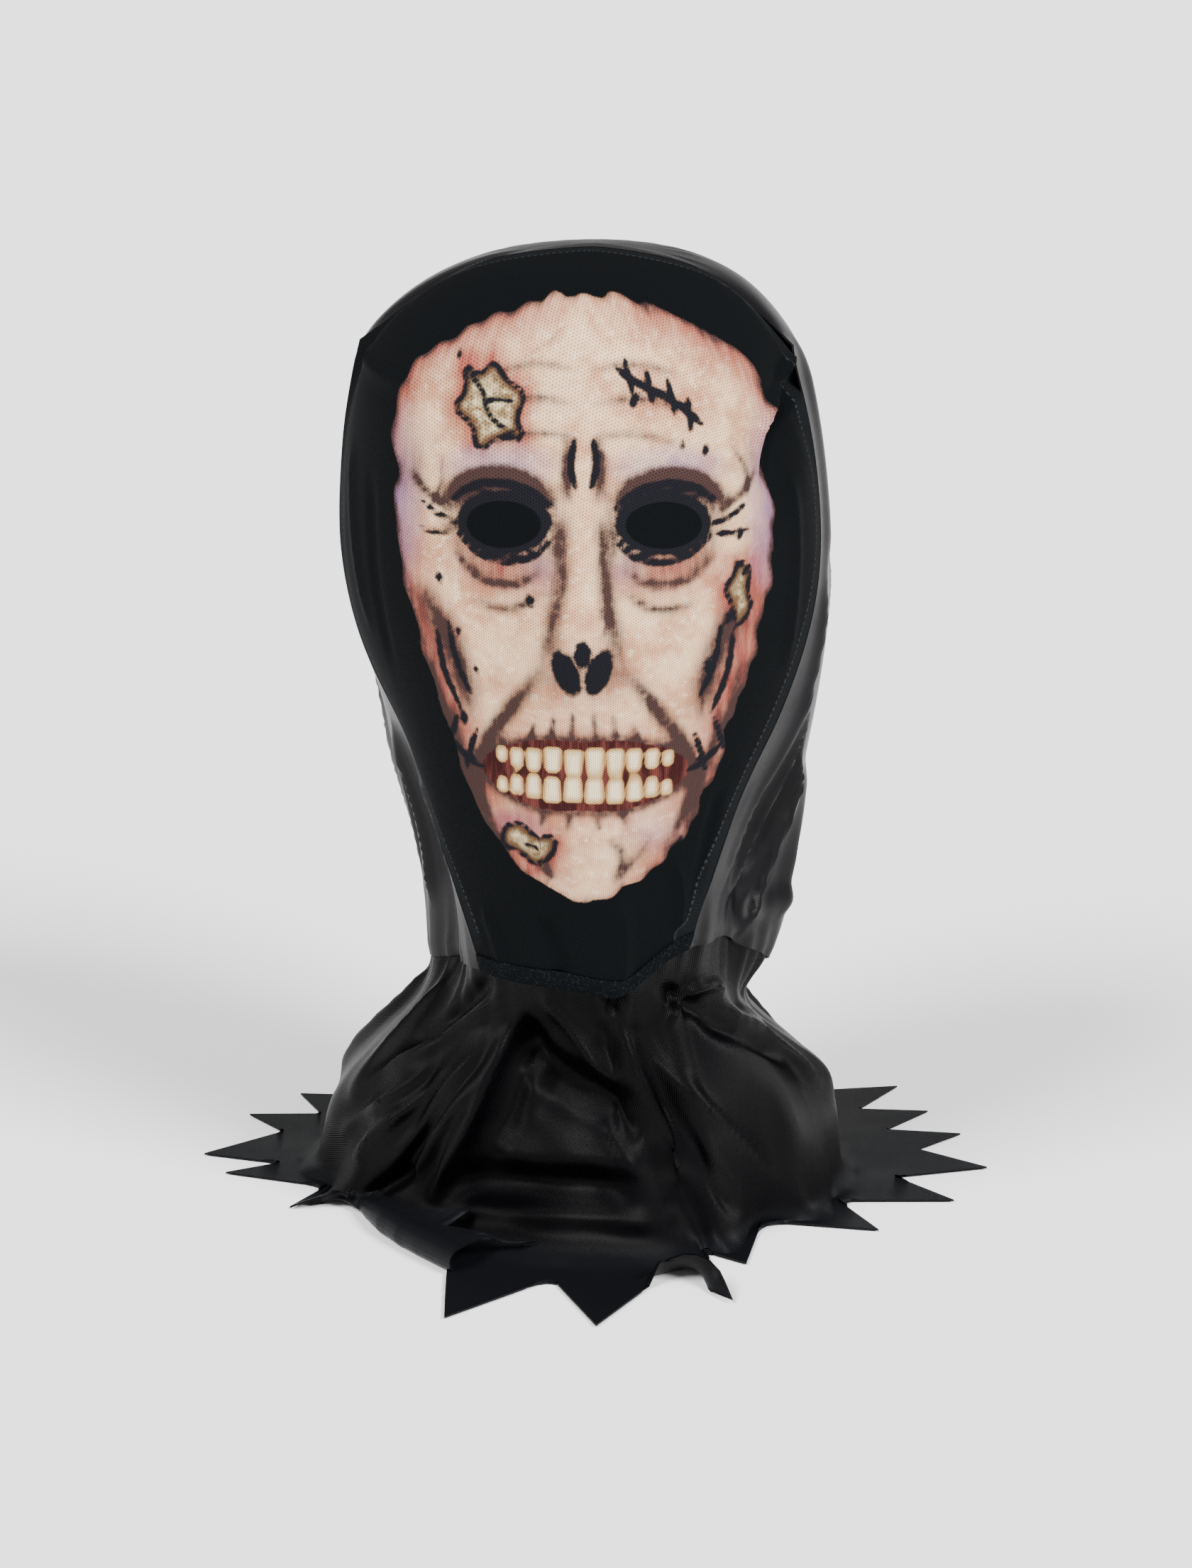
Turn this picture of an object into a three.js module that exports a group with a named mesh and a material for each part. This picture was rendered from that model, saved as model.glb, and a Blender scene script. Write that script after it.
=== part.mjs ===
// A pull-over zombie mask: a printed net face panel sewn into a satin hood, over a gathered shoulder cape with a
// pointed hem. It has the form that it takes over a head and shoulders, with the hem lying on a flat surface.
// Millimetres, +Z up. The face looks along -Y, and the origin is inside the crown, where a head carries the mask.
// Angles are degrees round the upright axis, from the middle of the face at 0 towards +X at 90.
import * as THREE from "three";

// Sizes of the hood and its face panel
const HOOD_DROP = 346; // crown to the hood's lower edge at its sides
const HOOD_HALF_WIDTH = 114.5; // widest, below the temples
const FACE_REACH = 104; // front of the face panel ahead of the axis
const BACK_REACH = 113; // back of the hood behind the axis
const EDGE_RISE = 38; // highest that the lower edge is drawn up, under the right cheek
const CROWN_SEAM_AHEAD = 12; // the panel's top seam ahead of the axis, over the crown
const CHIN_HEM = 9; // height of the turned hem under the chin
const RELIEF = 12; // how far the nose pushes the net out
const DRAPE = 24; // deepest of the hood's hanging folds

// Sizes of the shoulder cape
const CAPE_DROP = 112; // hood's lower edge to the surface that the hem lies on
const SHOULDER_HALF_WIDTH = 127;
const CHEST_REACH = 99; // front of the cape's shoulders ahead of the axis
const NAPE_REACH = 100; // back of the cape's shoulders behind the axis
const HEM_REACH = 197; // longest hem point, from the axis
const GATHER = 9; // deepest of the cape's gathers
const ROLL_RADIUS = 6; // the rolled-up stretch of the hem
const ROLL_REACH = 120; // where the roll starts, from the axis
const ROLL_LENGTH = 88;
const ROLL_ANGLE = -45; // the way that the roll faces
const ROLL_SLANT = 1.6; // how far the rolled points are drawn aside, as a share of what lies folded back

// Cloth
const SATIN = 1.4;
const NET = 1.2;
const TURNED_HEM = 2.4;
const SEAM_GAP = 0.3; // between neighbouring pieces
const LAP_GAP = 1.2; // between the hood's edge and the cape inside it

// Mesh steps
const PANEL_COLUMNS = 26;
const PANEL_ROWS = 18;
const CROWN_ROWS = 4;
const SIDE_COLUMNS = 28;
const HEM_STEPS = 2; // columns from a hem point to the next notch

const DEGREE = Math.PI / 180;
const FINE = 1e-3;

// The hood from the crown down. drop is a share of HOOD_DROP, left and right of HOOD_HALF_WIDTH, front of FACE_REACH
// and back of BACK_REACH. seamLeft and seamRight are the angles of the face panel's side seams.
const HOOD_SECTIONS = [
  { drop: 0.0, left: 0.0, right: 0.0, front: 0.0, back: 0.0, seamLeft: 78, seamRight: 77 },
  { drop: 0.013, left: 0.41, right: 0.35, front: 0.42, back: 0.42, seamLeft: 78, seamRight: 77 },
  { drop: 0.042, left: 0.65, right: 0.58, front: 0.68, back: 0.67, seamLeft: 78, seamRight: 77 },
  { drop: 0.085, left: 0.83, right: 0.71, front: 0.82, back: 0.81, seamLeft: 78, seamRight: 77 },
  { drop: 0.135, left: 0.94, right: 0.81, front: 0.9, back: 0.9, seamLeft: 79, seamRight: 77 },
  { drop: 0.21, left: 1.0, right: 0.87, front: 0.97, back: 0.97, seamLeft: 81, seamRight: 79 },
  { drop: 0.3, left: 1.03, right: 0.91, front: 0.98, back: 1.0, seamLeft: 83, seamRight: 81 },
  { drop: 0.4, left: 1.04, right: 0.94, front: 1.0, back: 1.0, seamLeft: 83, seamRight: 78 },
  { drop: 0.5, left: 0.99, right: 0.95, front: 1.01, back: 0.96, seamLeft: 80, seamRight: 68 },
  { drop: 0.6, left: 0.89, right: 0.91, front: 1.0, back: 0.88, seamLeft: 68, seamRight: 58 },
  { drop: 0.7, left: 0.83, right: 0.84, front: 0.99, back: 0.8, seamLeft: 52, seamRight: 48 },
  { drop: 0.8, left: 0.76, right: 0.82, front: 0.96, back: 0.73, seamLeft: 41, seamRight: 39 },
  { drop: 0.9, left: 0.71, right: 0.79, front: 0.91, back: 0.67, seamLeft: 33, seamRight: 33 },
  { drop: 1.0, left: 0.7, right: 0.76, front: 0.86, back: 0.64, seamLeft: 27, seamRight: 28 },
];
const PANEL_CORNER_ROW = 3.75; // the section row of the panel's two upper corners

// The hood's lower edge: how far it rises at an angle, as a share of EDGE_RISE.
const HOOD_EDGE = [
  { at: -180, rise: -0.2 },
  { at: -120, rise: -0.1 },
  { at: -88, rise: 0.0 },
  { at: -58, rise: 0.28 },
  { at: -30, rise: 0.5 },
  { at: -8, rise: 0.48 },
  { at: 10, rise: 0.4 },
  { at: 28, rise: 0.9 },
  { at: 48, rise: 0.85 },
  { at: 70, rise: 0.4 },
  { at: 92, rise: 0.0 },
  { at: 125, rise: -0.15 },
  { at: 180, rise: -0.2 },
];

// Swellings of the head in the net and at the panel's corners. at is an angle, drop a share of HOOD_DROP, wide in
// degrees, tall a share of HOOD_DROP and out a share of RELIEF.
const SWELLINGS = [
  { at: 0, drop: 0.455, wide: 11, tall: 0.075, out: 1.0 }, // nose
  { at: 0, drop: 0.31, wide: 34, tall: 0.04, out: 0.3 }, // brow
  { at: -27, drop: 0.345, wide: 11, tall: 0.035, out: -0.4 }, // eye hollow
  { at: 27, drop: 0.345, wide: 11, tall: 0.035, out: -0.4 },
  { at: 0, drop: 0.71, wide: 17, tall: 0.05, out: 0.35 }, // chin
  { at: -78, drop: 0.12, wide: 12, tall: 0.03, out: 0.25 }, // panel corners
  { at: 77, drop: 0.11, wide: 12, tall: 0.03, out: 0.35 },
];

// Folds of the hood: at is the angle at the fold's foot, lean what is added at its top, wide in degrees, out a share
// of DRAPE, and top and foot shares of HOOD_DROP between which the fold runs. deepest is where along it it is full.
const HOOD_FOLDS = [
  { at: 50, lean: 24, wide: 6, out: -0.5, top: 0.09, deepest: 0.22, foot: 0.36 }, // crease at the right temple
  { at: 42, lean: 24, wide: 6, out: 0.14, top: 0.09, deepest: 0.22, foot: 0.34 },
  { at: -54, lean: -12, wide: 12, out: -0.75, top: 0.52, deepest: 0.85, foot: 1.25 }, // recess beside the left cheek
  { at: 55, lean: 9, wide: 12, out: -0.72, top: 0.6, deepest: 0.8, foot: 1.2 }, // recess beside the right cheek
  { at: 14, lean: -4, wide: 6, out: 0.2, top: 0.8, deepest: 0.8, foot: 1.3 }, // pleat from the chin to the hem
  { at: -88, lean: -4, wide: 9, out: 0.16, top: 0.6, deepest: 0.5, foot: 1.3 },
  { at: 88, lean: -6, wide: 8, out: 0.2, top: 0.55, deepest: 0.6, foot: 1.3 },
  { at: 112, lean: 4, wide: 8, out: -0.3, top: 0.58, deepest: 0.7, foot: 1.4 },
  { at: 136, lean: -4, wide: 9, out: 0.22, top: 0.5, deepest: 0.6, foot: 1.4 },
  { at: 160, lean: 3, wide: 9, out: -0.26, top: 0.6, deepest: 0.7, foot: 1.4 },
  { at: 184, lean: 0, wide: 10, out: 0.22, top: 0.5, deepest: 0.6, foot: 1.4 },
  { at: 208, lean: -3, wide: 9, out: -0.28, top: 0.6, deepest: 0.7, foot: 1.4 },
  { at: 230, lean: 4, wide: 8, out: 0.2, top: 0.52, deepest: 0.6, foot: 1.4 },
  { at: 250, lean: -2, wide: 8, out: -0.26, top: 0.6, deepest: 0.7, foot: 1.4 },
];

// The cape from the hood's edge down. fall is a share of the way to the surface, left and right of SHOULDER_HALF_WIDTH,
// front of CHEST_REACH and back of NAPE_REACH. own is how far the cape has left the neck's shape for its own.
const CAPE_SECTIONS = [
  { fall: 0.0, left: 0.62, right: 0.6, front: 0.78, back: 0.66, own: 0.0 },
  { fall: 0.09, left: 0.65, right: 0.58, front: 0.8, back: 0.69, own: 0.35 },
  { fall: 0.2, left: 0.71, right: 0.6, front: 0.83, back: 0.74, own: 0.8 },
  { fall: 0.34, left: 0.82, right: 0.71, front: 0.88, back: 0.82, own: 0.97 },
  { fall: 0.49, left: 0.93, right: 0.82, front: 0.93, back: 0.9, own: 1.0 },
  { fall: 0.66, left: 1.01, right: 0.89, front: 0.97, back: 0.96, own: 1.0 },
  { fall: 0.84, left: 1.04, right: 0.92, front: 1.0, back: 1.0, own: 1.0 },
  { fall: 0.96, left: 1.07, right: 0.94, front: 1.08, back: 1.03, own: 1.0 },
  { fall: 1.0, left: 1.14, right: 1.0, front: 1.21, back: 1.11, own: 1.0 },
];
const HEM_ROWS = [0.16, 0.32, 0.48, 0.64, 0.82, 1]; // shares of the way from the shoulders' foot to the hem's cut edge
const LEAST_HEM = 0.05; // the flat hem at a notch is at least this share of the notch's distance wide

// Gathers of the cape, as the hood's folds. out is a share of GATHER, and top and foot are shares of the cape's fall.
const GATHERS = [
  { at: -46, lean: 6, wide: 17, out: -2.0, top: 0.35, deepest: 0.95, foot: 1.6 }, // tuck behind the rolled hem
  { at: -50, lean: 26, wide: 5, out: 1.0, top: 0.02, deepest: 0.7, foot: 1.2 },
  { at: -61, lean: 22, wide: 5, out: -0.75, top: 0.05, deepest: 0.6, foot: 1.15 },
  { at: -70, lean: 27, wide: 5, out: 0.85, top: 0.03, deepest: 0.7, foot: 1.2 },
  { at: -80, lean: 24, wide: 5, out: -0.7, top: 0.05, deepest: 0.7, foot: 1.15 },
  { at: -90, lean: 26, wide: 6, out: 0.6, top: 0.05, deepest: 0.6, foot: 1.2 },
  { at: -22, lean: 8, wide: 13, out: -0.9, top: 0.02, deepest: 0.55, foot: 1.1 },
  { at: 4, lean: -2, wide: 8, out: -0.3, top: 0.1, deepest: 0.7, foot: 1.1 },
  { at: 26, lean: -20, wide: 5, out: 1.0, top: 0.0, deepest: 0.6, foot: 1.15 },
  { at: 35, lean: -16, wide: 5, out: -0.8, top: 0.05, deepest: 0.7, foot: 1.15 },
  { at: 44, lean: -22, wide: 5, out: 0.75, top: 0.05, deepest: 0.6, foot: 1.1 },
  { at: 55, lean: -20, wide: 6, out: -0.55, top: 0.1, deepest: 0.6, foot: 1.1 },
  { at: 66, lean: -24, wide: 6, out: 0.7, top: 0.0, deepest: 0.45, foot: 1.05 },
  { at: 84, lean: -14, wide: 7, out: -0.5, top: 0.05, deepest: 0.5, foot: 1.1 },
  { at: 98, lean: -8, wide: 7, out: 0.6, top: 0.02, deepest: 0.5, foot: 1.15 },
  { at: 118, lean: -4, wide: 8, out: -0.7, top: 0.02, deepest: 0.6, foot: 1.15 },
  { at: 136, lean: -2, wide: 7, out: 0.9, top: 0.02, deepest: 0.7, foot: 1.2 },
  { at: 156, lean: 2, wide: 8, out: -0.7, top: 0.02, deepest: 0.6, foot: 1.15 },
  { at: 178, lean: 2, wide: 7, out: 0.9, top: 0.02, deepest: 0.7, foot: 1.2 },
  { at: 198, lean: 0, wide: 8, out: -0.7, top: 0.02, deepest: 0.6, foot: 1.15 },
  { at: 220, lean: 4, wide: 7, out: 0.9, top: 0.02, deepest: 0.7, foot: 1.2 },
  { at: 240, lean: 6, wide: 8, out: -0.6, top: 0.02, deepest: 0.6, foot: 1.15 },
  { at: 256, lean: 8, wide: 6, out: 0.55, top: 0.02, deepest: 0.5, foot: 1.15 },
];

// The hem's cut points, from the middle of the front round to the right. tip and notch are the angles of a point and
// of the notch after it, and reach and cut are their distances from the axis, as shares of HEM_REACH.
const FRONT_POINTS = [
  { tip: 6, reach: 0.9, notch: 18, cut: 0.68 },
  { tip: 28, reach: 0.84, notch: 33, cut: 0.56 },
  { tip: 38, reach: 0.67, notch: 57, cut: 0.52 },
  { tip: 67, reach: 0.78, notch: 77, cut: 0.63 },
  { tip: 83, reach: 0.905, notch: 91.5, cut: 0.75 },
  { tip: 96, reach: 0.985, notch: 104, cut: 0.83 },
  { tip: 109, reach: 0.965, notch: 114, cut: 0.79 },
  { tip: 119, reach: 0.945, notch: 125, cut: 0.79 },
  { tip: 130, reach: 0.97, notch: 137, cut: 0.78 },
];
const HIDDEN_POINTS = { from: 150, to: 231, count: 7, reach: 0.92, cut: 0.77 };
const LEFT_POINTS = [
  { tip: 244, reach: 0.925, notch: 250, cut: 0.8 },
  { tip: 255, reach: 0.97, notch: 260, cut: 0.84 },
  { tip: 271, reach: 1.0, notch: 274, cut: 0.8 },
  { tip: 278, reach: 0.93, notch: 286, cut: 0.68 },
  { tip: 294, reach: 0.79, notch: 300, cut: 0.72 },
  { tip: 307, reach: 0.82, notch: 315, cut: 0.72 },
  { tip: 325, reach: 0.86, notch: 333.5, cut: 0.66 },
  { tip: 344, reach: 0.925, notch: 357, cut: 0.66 },
];

const lerp = THREE.MathUtils.lerp;

// A value of a table at a row between two rows, on a smooth curve through them. Above the first row, where a closed
// crown starts, the table goes on as its own mirror image.
function alongRows(table, column, row, mirrored = false) {
  const last = table.length - 1;
  const at = Math.min(Math.floor(row), last - 1);
  const value = (i) => {
    if (i > last) return 2 * table[last][column] - table[last - 1][column];
    if (i < 0) return mirrored ? -table[-i][column] : table[mirrored === false ? 0 : -i][column];
    return table[i][column];
  };
  const [a, b, c, d] = [at - 1, at, at + 1, at + 2].map(value);
  const t = row - at;
  return b + (t * (c - a + t * (2 * a - 5 * b + 4 * c - d + t * (3 * (b - c) + d - a)))) / 2;
}

// The shorter way round from one angle to another, in degrees.
const turnBetween = (a, b) => ((((a - b) % 360) + 540) % 360) - 180;

// The radius of a rounded section in the direction of an angle.
function sectionRadius(angle, side, ahead) {
  const across = Math.sin(angle * DEGREE) / Math.max(side, FINE);
  const along = Math.cos(angle * DEGREE) / Math.max(ahead, FINE);
  return 1 / Math.hypot(across, along);
}

// How far a table's folds push the cloth out at an angle and a share of the way down.
function foldsAt(table, depth, angle, down) {
  let out = 0;
  for (const fold of table) {
    if (down <= fold.top || down >= fold.foot) continue;
    const along = (down - fold.top) / (fold.foot - fold.top);
    const peak = Math.min(Math.max((fold.deepest - fold.top) / (fold.foot - fold.top), 0.2), 0.8);
    const rise = Math.min(along / peak, (1 - along) / (1 - peak));
    const share = rise * rise * (3 - 2 * rise);
    const off = turnBetween(angle, fold.at + fold.lean * (1 - along)) / fold.wide;
    out += depth * fold.out * share * Math.exp(-off * off);
  }
  return out;
}

// The radius of a hood section, without its swellings and folds.
function hoodRadius(angle, row) {
  const turn = turnBetween(angle, 0);
  const side = alongRows(HOOD_SECTIONS, turn >= 0 ? "right" : "left", row, true) * HOOD_HALF_WIDTH;
  const ahead =
    Math.abs(turn) <= 90
      ? alongRows(HOOD_SECTIONS, "front", row, true) * FACE_REACH
      : alongRows(HOOD_SECTIONS, "back", row, true) * BACK_REACH;
  return sectionRadius(angle, side, ahead);
}

// The surface of the head under the hood: the inside of the hood and its face panel.
function headPoint(angle, row) {
  const drop = dropAt(row);
  let radius = hoodRadius(angle, row) + foldsAt(HOOD_FOLDS, DRAPE, angle, drop);
  for (const s of SWELLINGS) {
    const across = turnBetween(angle, s.at) / s.wide;
    const down = (drop - s.drop) / s.tall;
    radius += RELIEF * s.out * Math.exp(-across * across - down * down);
  }
  return new THREE.Vector3(
    radius * Math.sin(angle * DEGREE),
    -radius * Math.cos(angle * DEGREE),
    -drop * HOOD_DROP,
  );
}

// The share of HOOD_DROP at a section row. It is even at the crown, so the crown is round.
function dropAt(row) {
  return alongRows(HOOD_SECTIONS, "drop", row, null);
}

// The row between two rows where a rising measure reaches a value, by halving.
function findRow(low, high, value, measure) {
  for (let i = 0; i < 40; i++) {
    const middle = (low + high) / 2;
    if (measure(middle) < value) low = middle;
    else high = middle;
  }
  return (low + high) / 2;
}

// The height of the hood's lower edge at an angle, as a section row.
function edgeRow(angle) {
  const turn = turnBetween(angle, 0);
  const after = Math.max(
    HOOD_EDGE.findIndex((p) => p.at > turn),
    1,
  );
  const [a, b] = [HOOD_EDGE[after - 1], HOOD_EDGE[after]];
  const t = THREE.MathUtils.smoothstep(turn, a.at, b.at);
  const drop = 1 - (lerp(a.rise, b.rise, t) * EDGE_RISE) / HOOD_DROP;
  return findRow(0, HOOD_SECTIONS.length - 0.5, drop, dropAt);
}

// The face panel's seam angle at a share across the face, from the left seam at -1 to the right seam at 1.
function acrossAngle(across, row) {
  return across * alongRows(HOOD_SECTIONS, across < 0 ? "seamLeft" : "seamRight", Math.max(row, PANEL_CORNER_ROW));
}

// The section row of the seam over the crown, which runs from ear to ear just ahead of the axis.
function topSeamRow(across) {
  const angle = acrossAngle(across, PANEL_CORNER_ROW);
  const corner = hoodRadius(angle, PANEL_CORNER_ROW) * Math.cos(acrossAngle(Math.sign(across), 0) * DEGREE);
  const ahead = lerp(CROWN_SEAM_AHEAD, corner, across * across);
  return findRow(0, PANEL_CORNER_ROW, ahead / Math.cos(angle * DEGREE), (row) => hoodRadius(angle, row));
}

// The outward direction of a surface, from two small steps along it.
function outward(surface, angle, row) {
  const turn = 0.5;
  const step = 0.02;
  const across = surface(angle + turn, row).sub(surface(angle - turn, row));
  const down = surface(angle, row + step).sub(surface(angle, Math.max(row - step, 0)));
  const normal = across.cross(down).negate();
  return normal.lengthSq() < 1e-12 ? new THREE.Vector3(0, 0, 1) : normal.normalize();
}

// One piece of cloth: a sheet of points with a thickness, closed round its rim.
class Cloth {
  constructor(name, thickness, material) {
    Object.assign(this, { name, thickness, material, inner: [], outer: [], triangles: [] });
  }

  // Adds a point of the sheet's inner side and returns its number.
  point(place, normal) {
    this.inner.push(place);
    this.outer.push(place.clone().addScaledVector(normal, this.thickness));
    return this.inner.length - 1;
  }

  // Fills a grid of numbered points, row under row from the top, with columns running towards growing angles.
  fill(rows) {
    for (let j = 0; j + 1 < rows.length; j++) {
      for (let i = 0; i + 1 < rows[j].length; i++) {
        const [a, b] = [rows[j][i], rows[j][i + 1]];
        const [c, d] = [rows[j + 1][i], rows[j + 1][i + 1]];
        if (a !== b) this.triangles.push([a, c, b]);
        if (c !== d) this.triangles.push([b, c, d]);
      }
    }
  }

  mesh() {
    const count = this.inner.length;
    const faces = [];
    const edges = new Set();
    for (const [a, b, c] of this.triangles) {
      faces.push([a + count, b + count, c + count], [a, c, b]);
      edges.add(`${a}_${b}`).add(`${b}_${c}`).add(`${c}_${a}`);
    }
    for (const edge of edges) {
      const [a, b] = edge.split("_").map(Number);
      if (edges.has(`${b}_${a}`)) continue;
      faces.push([b + count, a + count, a], [b + count, a, b]);
    }
    const places = [...this.inner, ...this.outer];
    const geometry = new THREE.BufferGeometry();
    geometry.setAttribute(
      "position",
      new THREE.Float32BufferAttribute(places.flatMap((p) => p.toArray()), 3),
    );
    geometry.setIndex(faces.flat());
    geometry.computeVertexNormals();
    const mesh = new THREE.Mesh(geometry, this.material);
    mesh.name = this.name;
    return mesh;
  }
}

// A share of a section row that is as long as a length on the head's surface.
function rowsFor(length, angle, row) {
  const step = 0.05;
  return (length * step) / headPoint(angle, row + step).distanceTo(headPoint(angle, row));
}

// Degrees that are as long as a length round the head.
function turnFor(length, angle, row) {
  const place = headPoint(angle, row);
  return length / Math.hypot(place.x, place.y) / DEGREE;
}

// How far along a column the top seam's half gap reaches, because the columns cross that seam at a slant.
function seamRows(angle, row) {
  return rowsFor(SEAM_GAP / 2 / Math.max(Math.cos(angle * DEGREE), 0.2), angle, row);
}

// The steps down a side seam: the panel's rows, and then the hem below them.
function stepDown(step, top, lowest, hem) {
  return step > PANEL_ROWS ? lowest : lerp(top, lowest - hem, step / PANEL_ROWS);
}

// The face panel's place at a share across, from -1 to 1, and a step down, with a margin to its seams.
function panelPlace(across, step, margin = SEAM_GAP / 2, hem = CHIN_HEM) {
  const top = topSeamRow(across);
  const start = acrossAngle(across, top);
  const lowest = edgeRow(acrossAngle(across, HOOD_SECTIONS.length - 1));
  const hemRows = rowsFor(hem, acrossAngle(across, lowest), lowest - 0.2);
  const row = stepDown(step, top + seamRows(start, top) * (margin / (SEAM_GAP / 2)), lowest, hemRows);
  const angle = acrossAngle(across, row);
  return { angle: angle - across * turnFor(margin, angle, row), row };
}

// The place of a side column at a share of the way round the back, from the right seam to the left one.
function sidePlace(share, step) {
  const angleAt = (row) => {
    const right = acrossAngle(1, row);
    const left = acrossAngle(-1, row);
    return lerp(right + turnFor(SEAM_GAP / 2, right, row), 360 + left - turnFor(SEAM_GAP / 2, left, row), share);
  };
  const foot = angleAt(HOOD_SECTIONS.length - 1);
  const lowest = edgeRow(foot);
  const row = stepDown(step, PANEL_CORNER_ROW, lowest, rowsFor(CHIN_HEM, foot, lowest - 0.2));
  return { angle: angleAt(row), row };
}

// The places round the hood and the panel at one step down, from the left seam round the front and the back.
function placesRound(step) {
  const places = [];
  for (let i = 0; i <= PANEL_COLUMNS; i++) places.push(panelPlace(-1 + (2 * i) / PANEL_COLUMNS, step));
  for (let k = 0; k <= SIDE_COLUMNS; k++) places.push(sidePlace(k / SIDE_COLUMNS, step));
  return places.concat({ ...places[0], angle: places[0].angle + 360 });
}

const satin = new THREE.MeshStandardMaterial({ color: 0x17151a, roughness: 0.5, metalness: 0 });
const net = new THREE.MeshStandardMaterial({ color: 0xb59a86, roughness: 0.85, metalness: 0 });
const blackNet = new THREE.MeshStandardMaterial({ color: 0x0c1114, roughness: 0.85, metalness: 0 });

// The printed net panel over the face.
function facePanel() {
  const cloth = new Cloth("face_panel", NET, net);
  const rows = [];
  for (let j = 0; j <= PANEL_ROWS; j++) {
    rows.push([]);
    for (let i = 0; i <= PANEL_COLUMNS; i++) {
      const { angle, row } = panelPlace(-1 + (2 * i) / PANEL_COLUMNS, j);
      rows[j].push(cloth.point(headPoint(angle, row), outward(headPoint, angle, row)));
    }
  }
  cloth.fill(rows);
  return cloth.mesh();
}

// The net's lower edge, turned up twice and stitched.
function chinHem() {
  const cloth = new Cloth("chin_hem", TURNED_HEM, blackNet);
  const rows = [[], []];
  for (let i = 0; i <= PANEL_COLUMNS; i++) {
    const across = -1 + (2 * i) / PANEL_COLUMNS;
    for (const [j, step] of [PANEL_ROWS, PANEL_ROWS + 1].entries()) {
      const { angle, row } = panelPlace(across, step, SEAM_GAP / 2, CHIN_HEM - SEAM_GAP);
      rows[j].push(cloth.point(headPoint(angle, row), outward(headPoint, angle, row)));
    }
  }
  cloth.fill(rows);
  return cloth.mesh();
}

// The hood: a round crown, and sides and back that hang from it to the neck.
function hood() {
  const cloth = new Cloth("hood", SATIN, satin);
  const add = (angle, row) => cloth.point(headPoint(angle, row), outward(headPoint, angle, row));
  // The crown, a ring of columns from its top: the panel's columns first, then those round the back.
  const crown = [Array(PANEL_COLUMNS + SIDE_COLUMNS + 1).fill(add(0, 0))];
  for (let j = 1; j <= CROWN_ROWS; j++) {
    const ring = [];
    for (let i = 0; i <= PANEL_COLUMNS; i++) {
      const across = -1 + (2 * i) / PANEL_COLUMNS;
      const end = topSeamRow(across);
      const angle = acrossAngle(across, end);
      const corner = sidePlace(i === 0 ? 1 : 0, 0).angle;
      ring.push(add(i % PANEL_COLUMNS ? angle : corner, ((end - seamRows(angle, end)) * j) / CROWN_ROWS));
    }
    for (let k = 1; k < SIDE_COLUMNS; k++) {
      ring.push(add(sidePlace(k / SIDE_COLUMNS, 0).angle, (PANEL_CORNER_ROW * j) / CROWN_ROWS));
    }
    ring.push(ring[0]);
    crown.push(ring);
  }
  cloth.fill(crown);
  // The sides and back, from the last ring of the crown to the lower edge, in step with the panel's rows.
  const sides = [crown[CROWN_ROWS].slice(PANEL_COLUMNS)];
  for (let j = 1; j <= PANEL_ROWS + 1; j++) {
    sides.push([]);
    for (let k = 0; k <= SIDE_COLUMNS; k++) {
      const { angle, row } = sidePlace(k / SIDE_COLUMNS, j);
      sides[j].push(add(angle, row));
    }
  }
  cloth.fill(sides);
  return cloth.mesh();
}

// The hem's corners in turn, points and notches, as angles and distances from the axis.
function hemCorners() {
  const hidden = [];
  for (let i = 0; i < HIDDEN_POINTS.count; i++) {
    const pitch = (HIDDEN_POINTS.to - HIDDEN_POINTS.from) / (HIDDEN_POINTS.count - 1);
    const tip = HIDDEN_POINTS.from + i * pitch;
    hidden.push({ tip, reach: HIDDEN_POINTS.reach, notch: tip + pitch / 2, cut: HIDDEN_POINTS.cut });
  }
  return [...FRONT_POINTS, ...hidden, ...LEFT_POINTS].flatMap((p) => [
    { angle: p.tip, reach: p.reach * HEM_REACH },
    { angle: p.notch, reach: p.cut * HEM_REACH },
  ]);
}

// The columns of the cape: each hem corner and the steps of the straight cut to the next one.
function hemColumns() {
  const corners = hemCorners();
  const flat = (c) =>
    new THREE.Vector2(Math.sin(c.angle * DEGREE), -Math.cos(c.angle * DEGREE)).multiplyScalar(c.reach);
  return corners.flatMap((corner, i) => {
    const next = corners[(i + 1) % corners.length];
    const steps = [];
    for (let k = 0; k < HEM_STEPS; k++) {
      const place = flat(corner).lerp(flat(next), k / HEM_STEPS);
      steps.push({ angle: Math.atan2(place.x, -place.y) / DEGREE, reach: place.length() });
    }
    return steps;
  });
}

// Lays the part of the hem past the roll's line up and back over itself, on a half turn of ROLL_RADIUS. Past its two
// ends the roll opens out into the flat hem.
function rolled(place, floor) {
  const way = new THREE.Vector3(Math.sin(ROLL_ANGLE * DEGREE), -Math.cos(ROLL_ANGLE * DEGREE), 0);
  const aside = new THREE.Vector3(-way.y, way.x, 0);
  const pastEnd = Math.max(Math.abs(place.dot(aside)) - ROLL_LENGTH / 2, 0);
  const past = place.dot(way) - ROLL_REACH - 5 * pastEnd;
  if (past <= 0 || place.z > floor + ROLL_RADIUS) return place;
  const turned = Math.min(past / ROLL_RADIUS, Math.PI);
  const back = past - turned * ROLL_RADIUS;
  const out = ROLL_RADIUS * Math.sin(turned) - back;
  const up = ROLL_RADIUS * (1 - Math.cos(turned)) + 0.1 * back;
  return place
    .clone()
    .addScaledVector(way, out - past)
    .addScaledVector(aside, ROLL_SLANT * back)
    .setZ(place.z + up);
}

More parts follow.
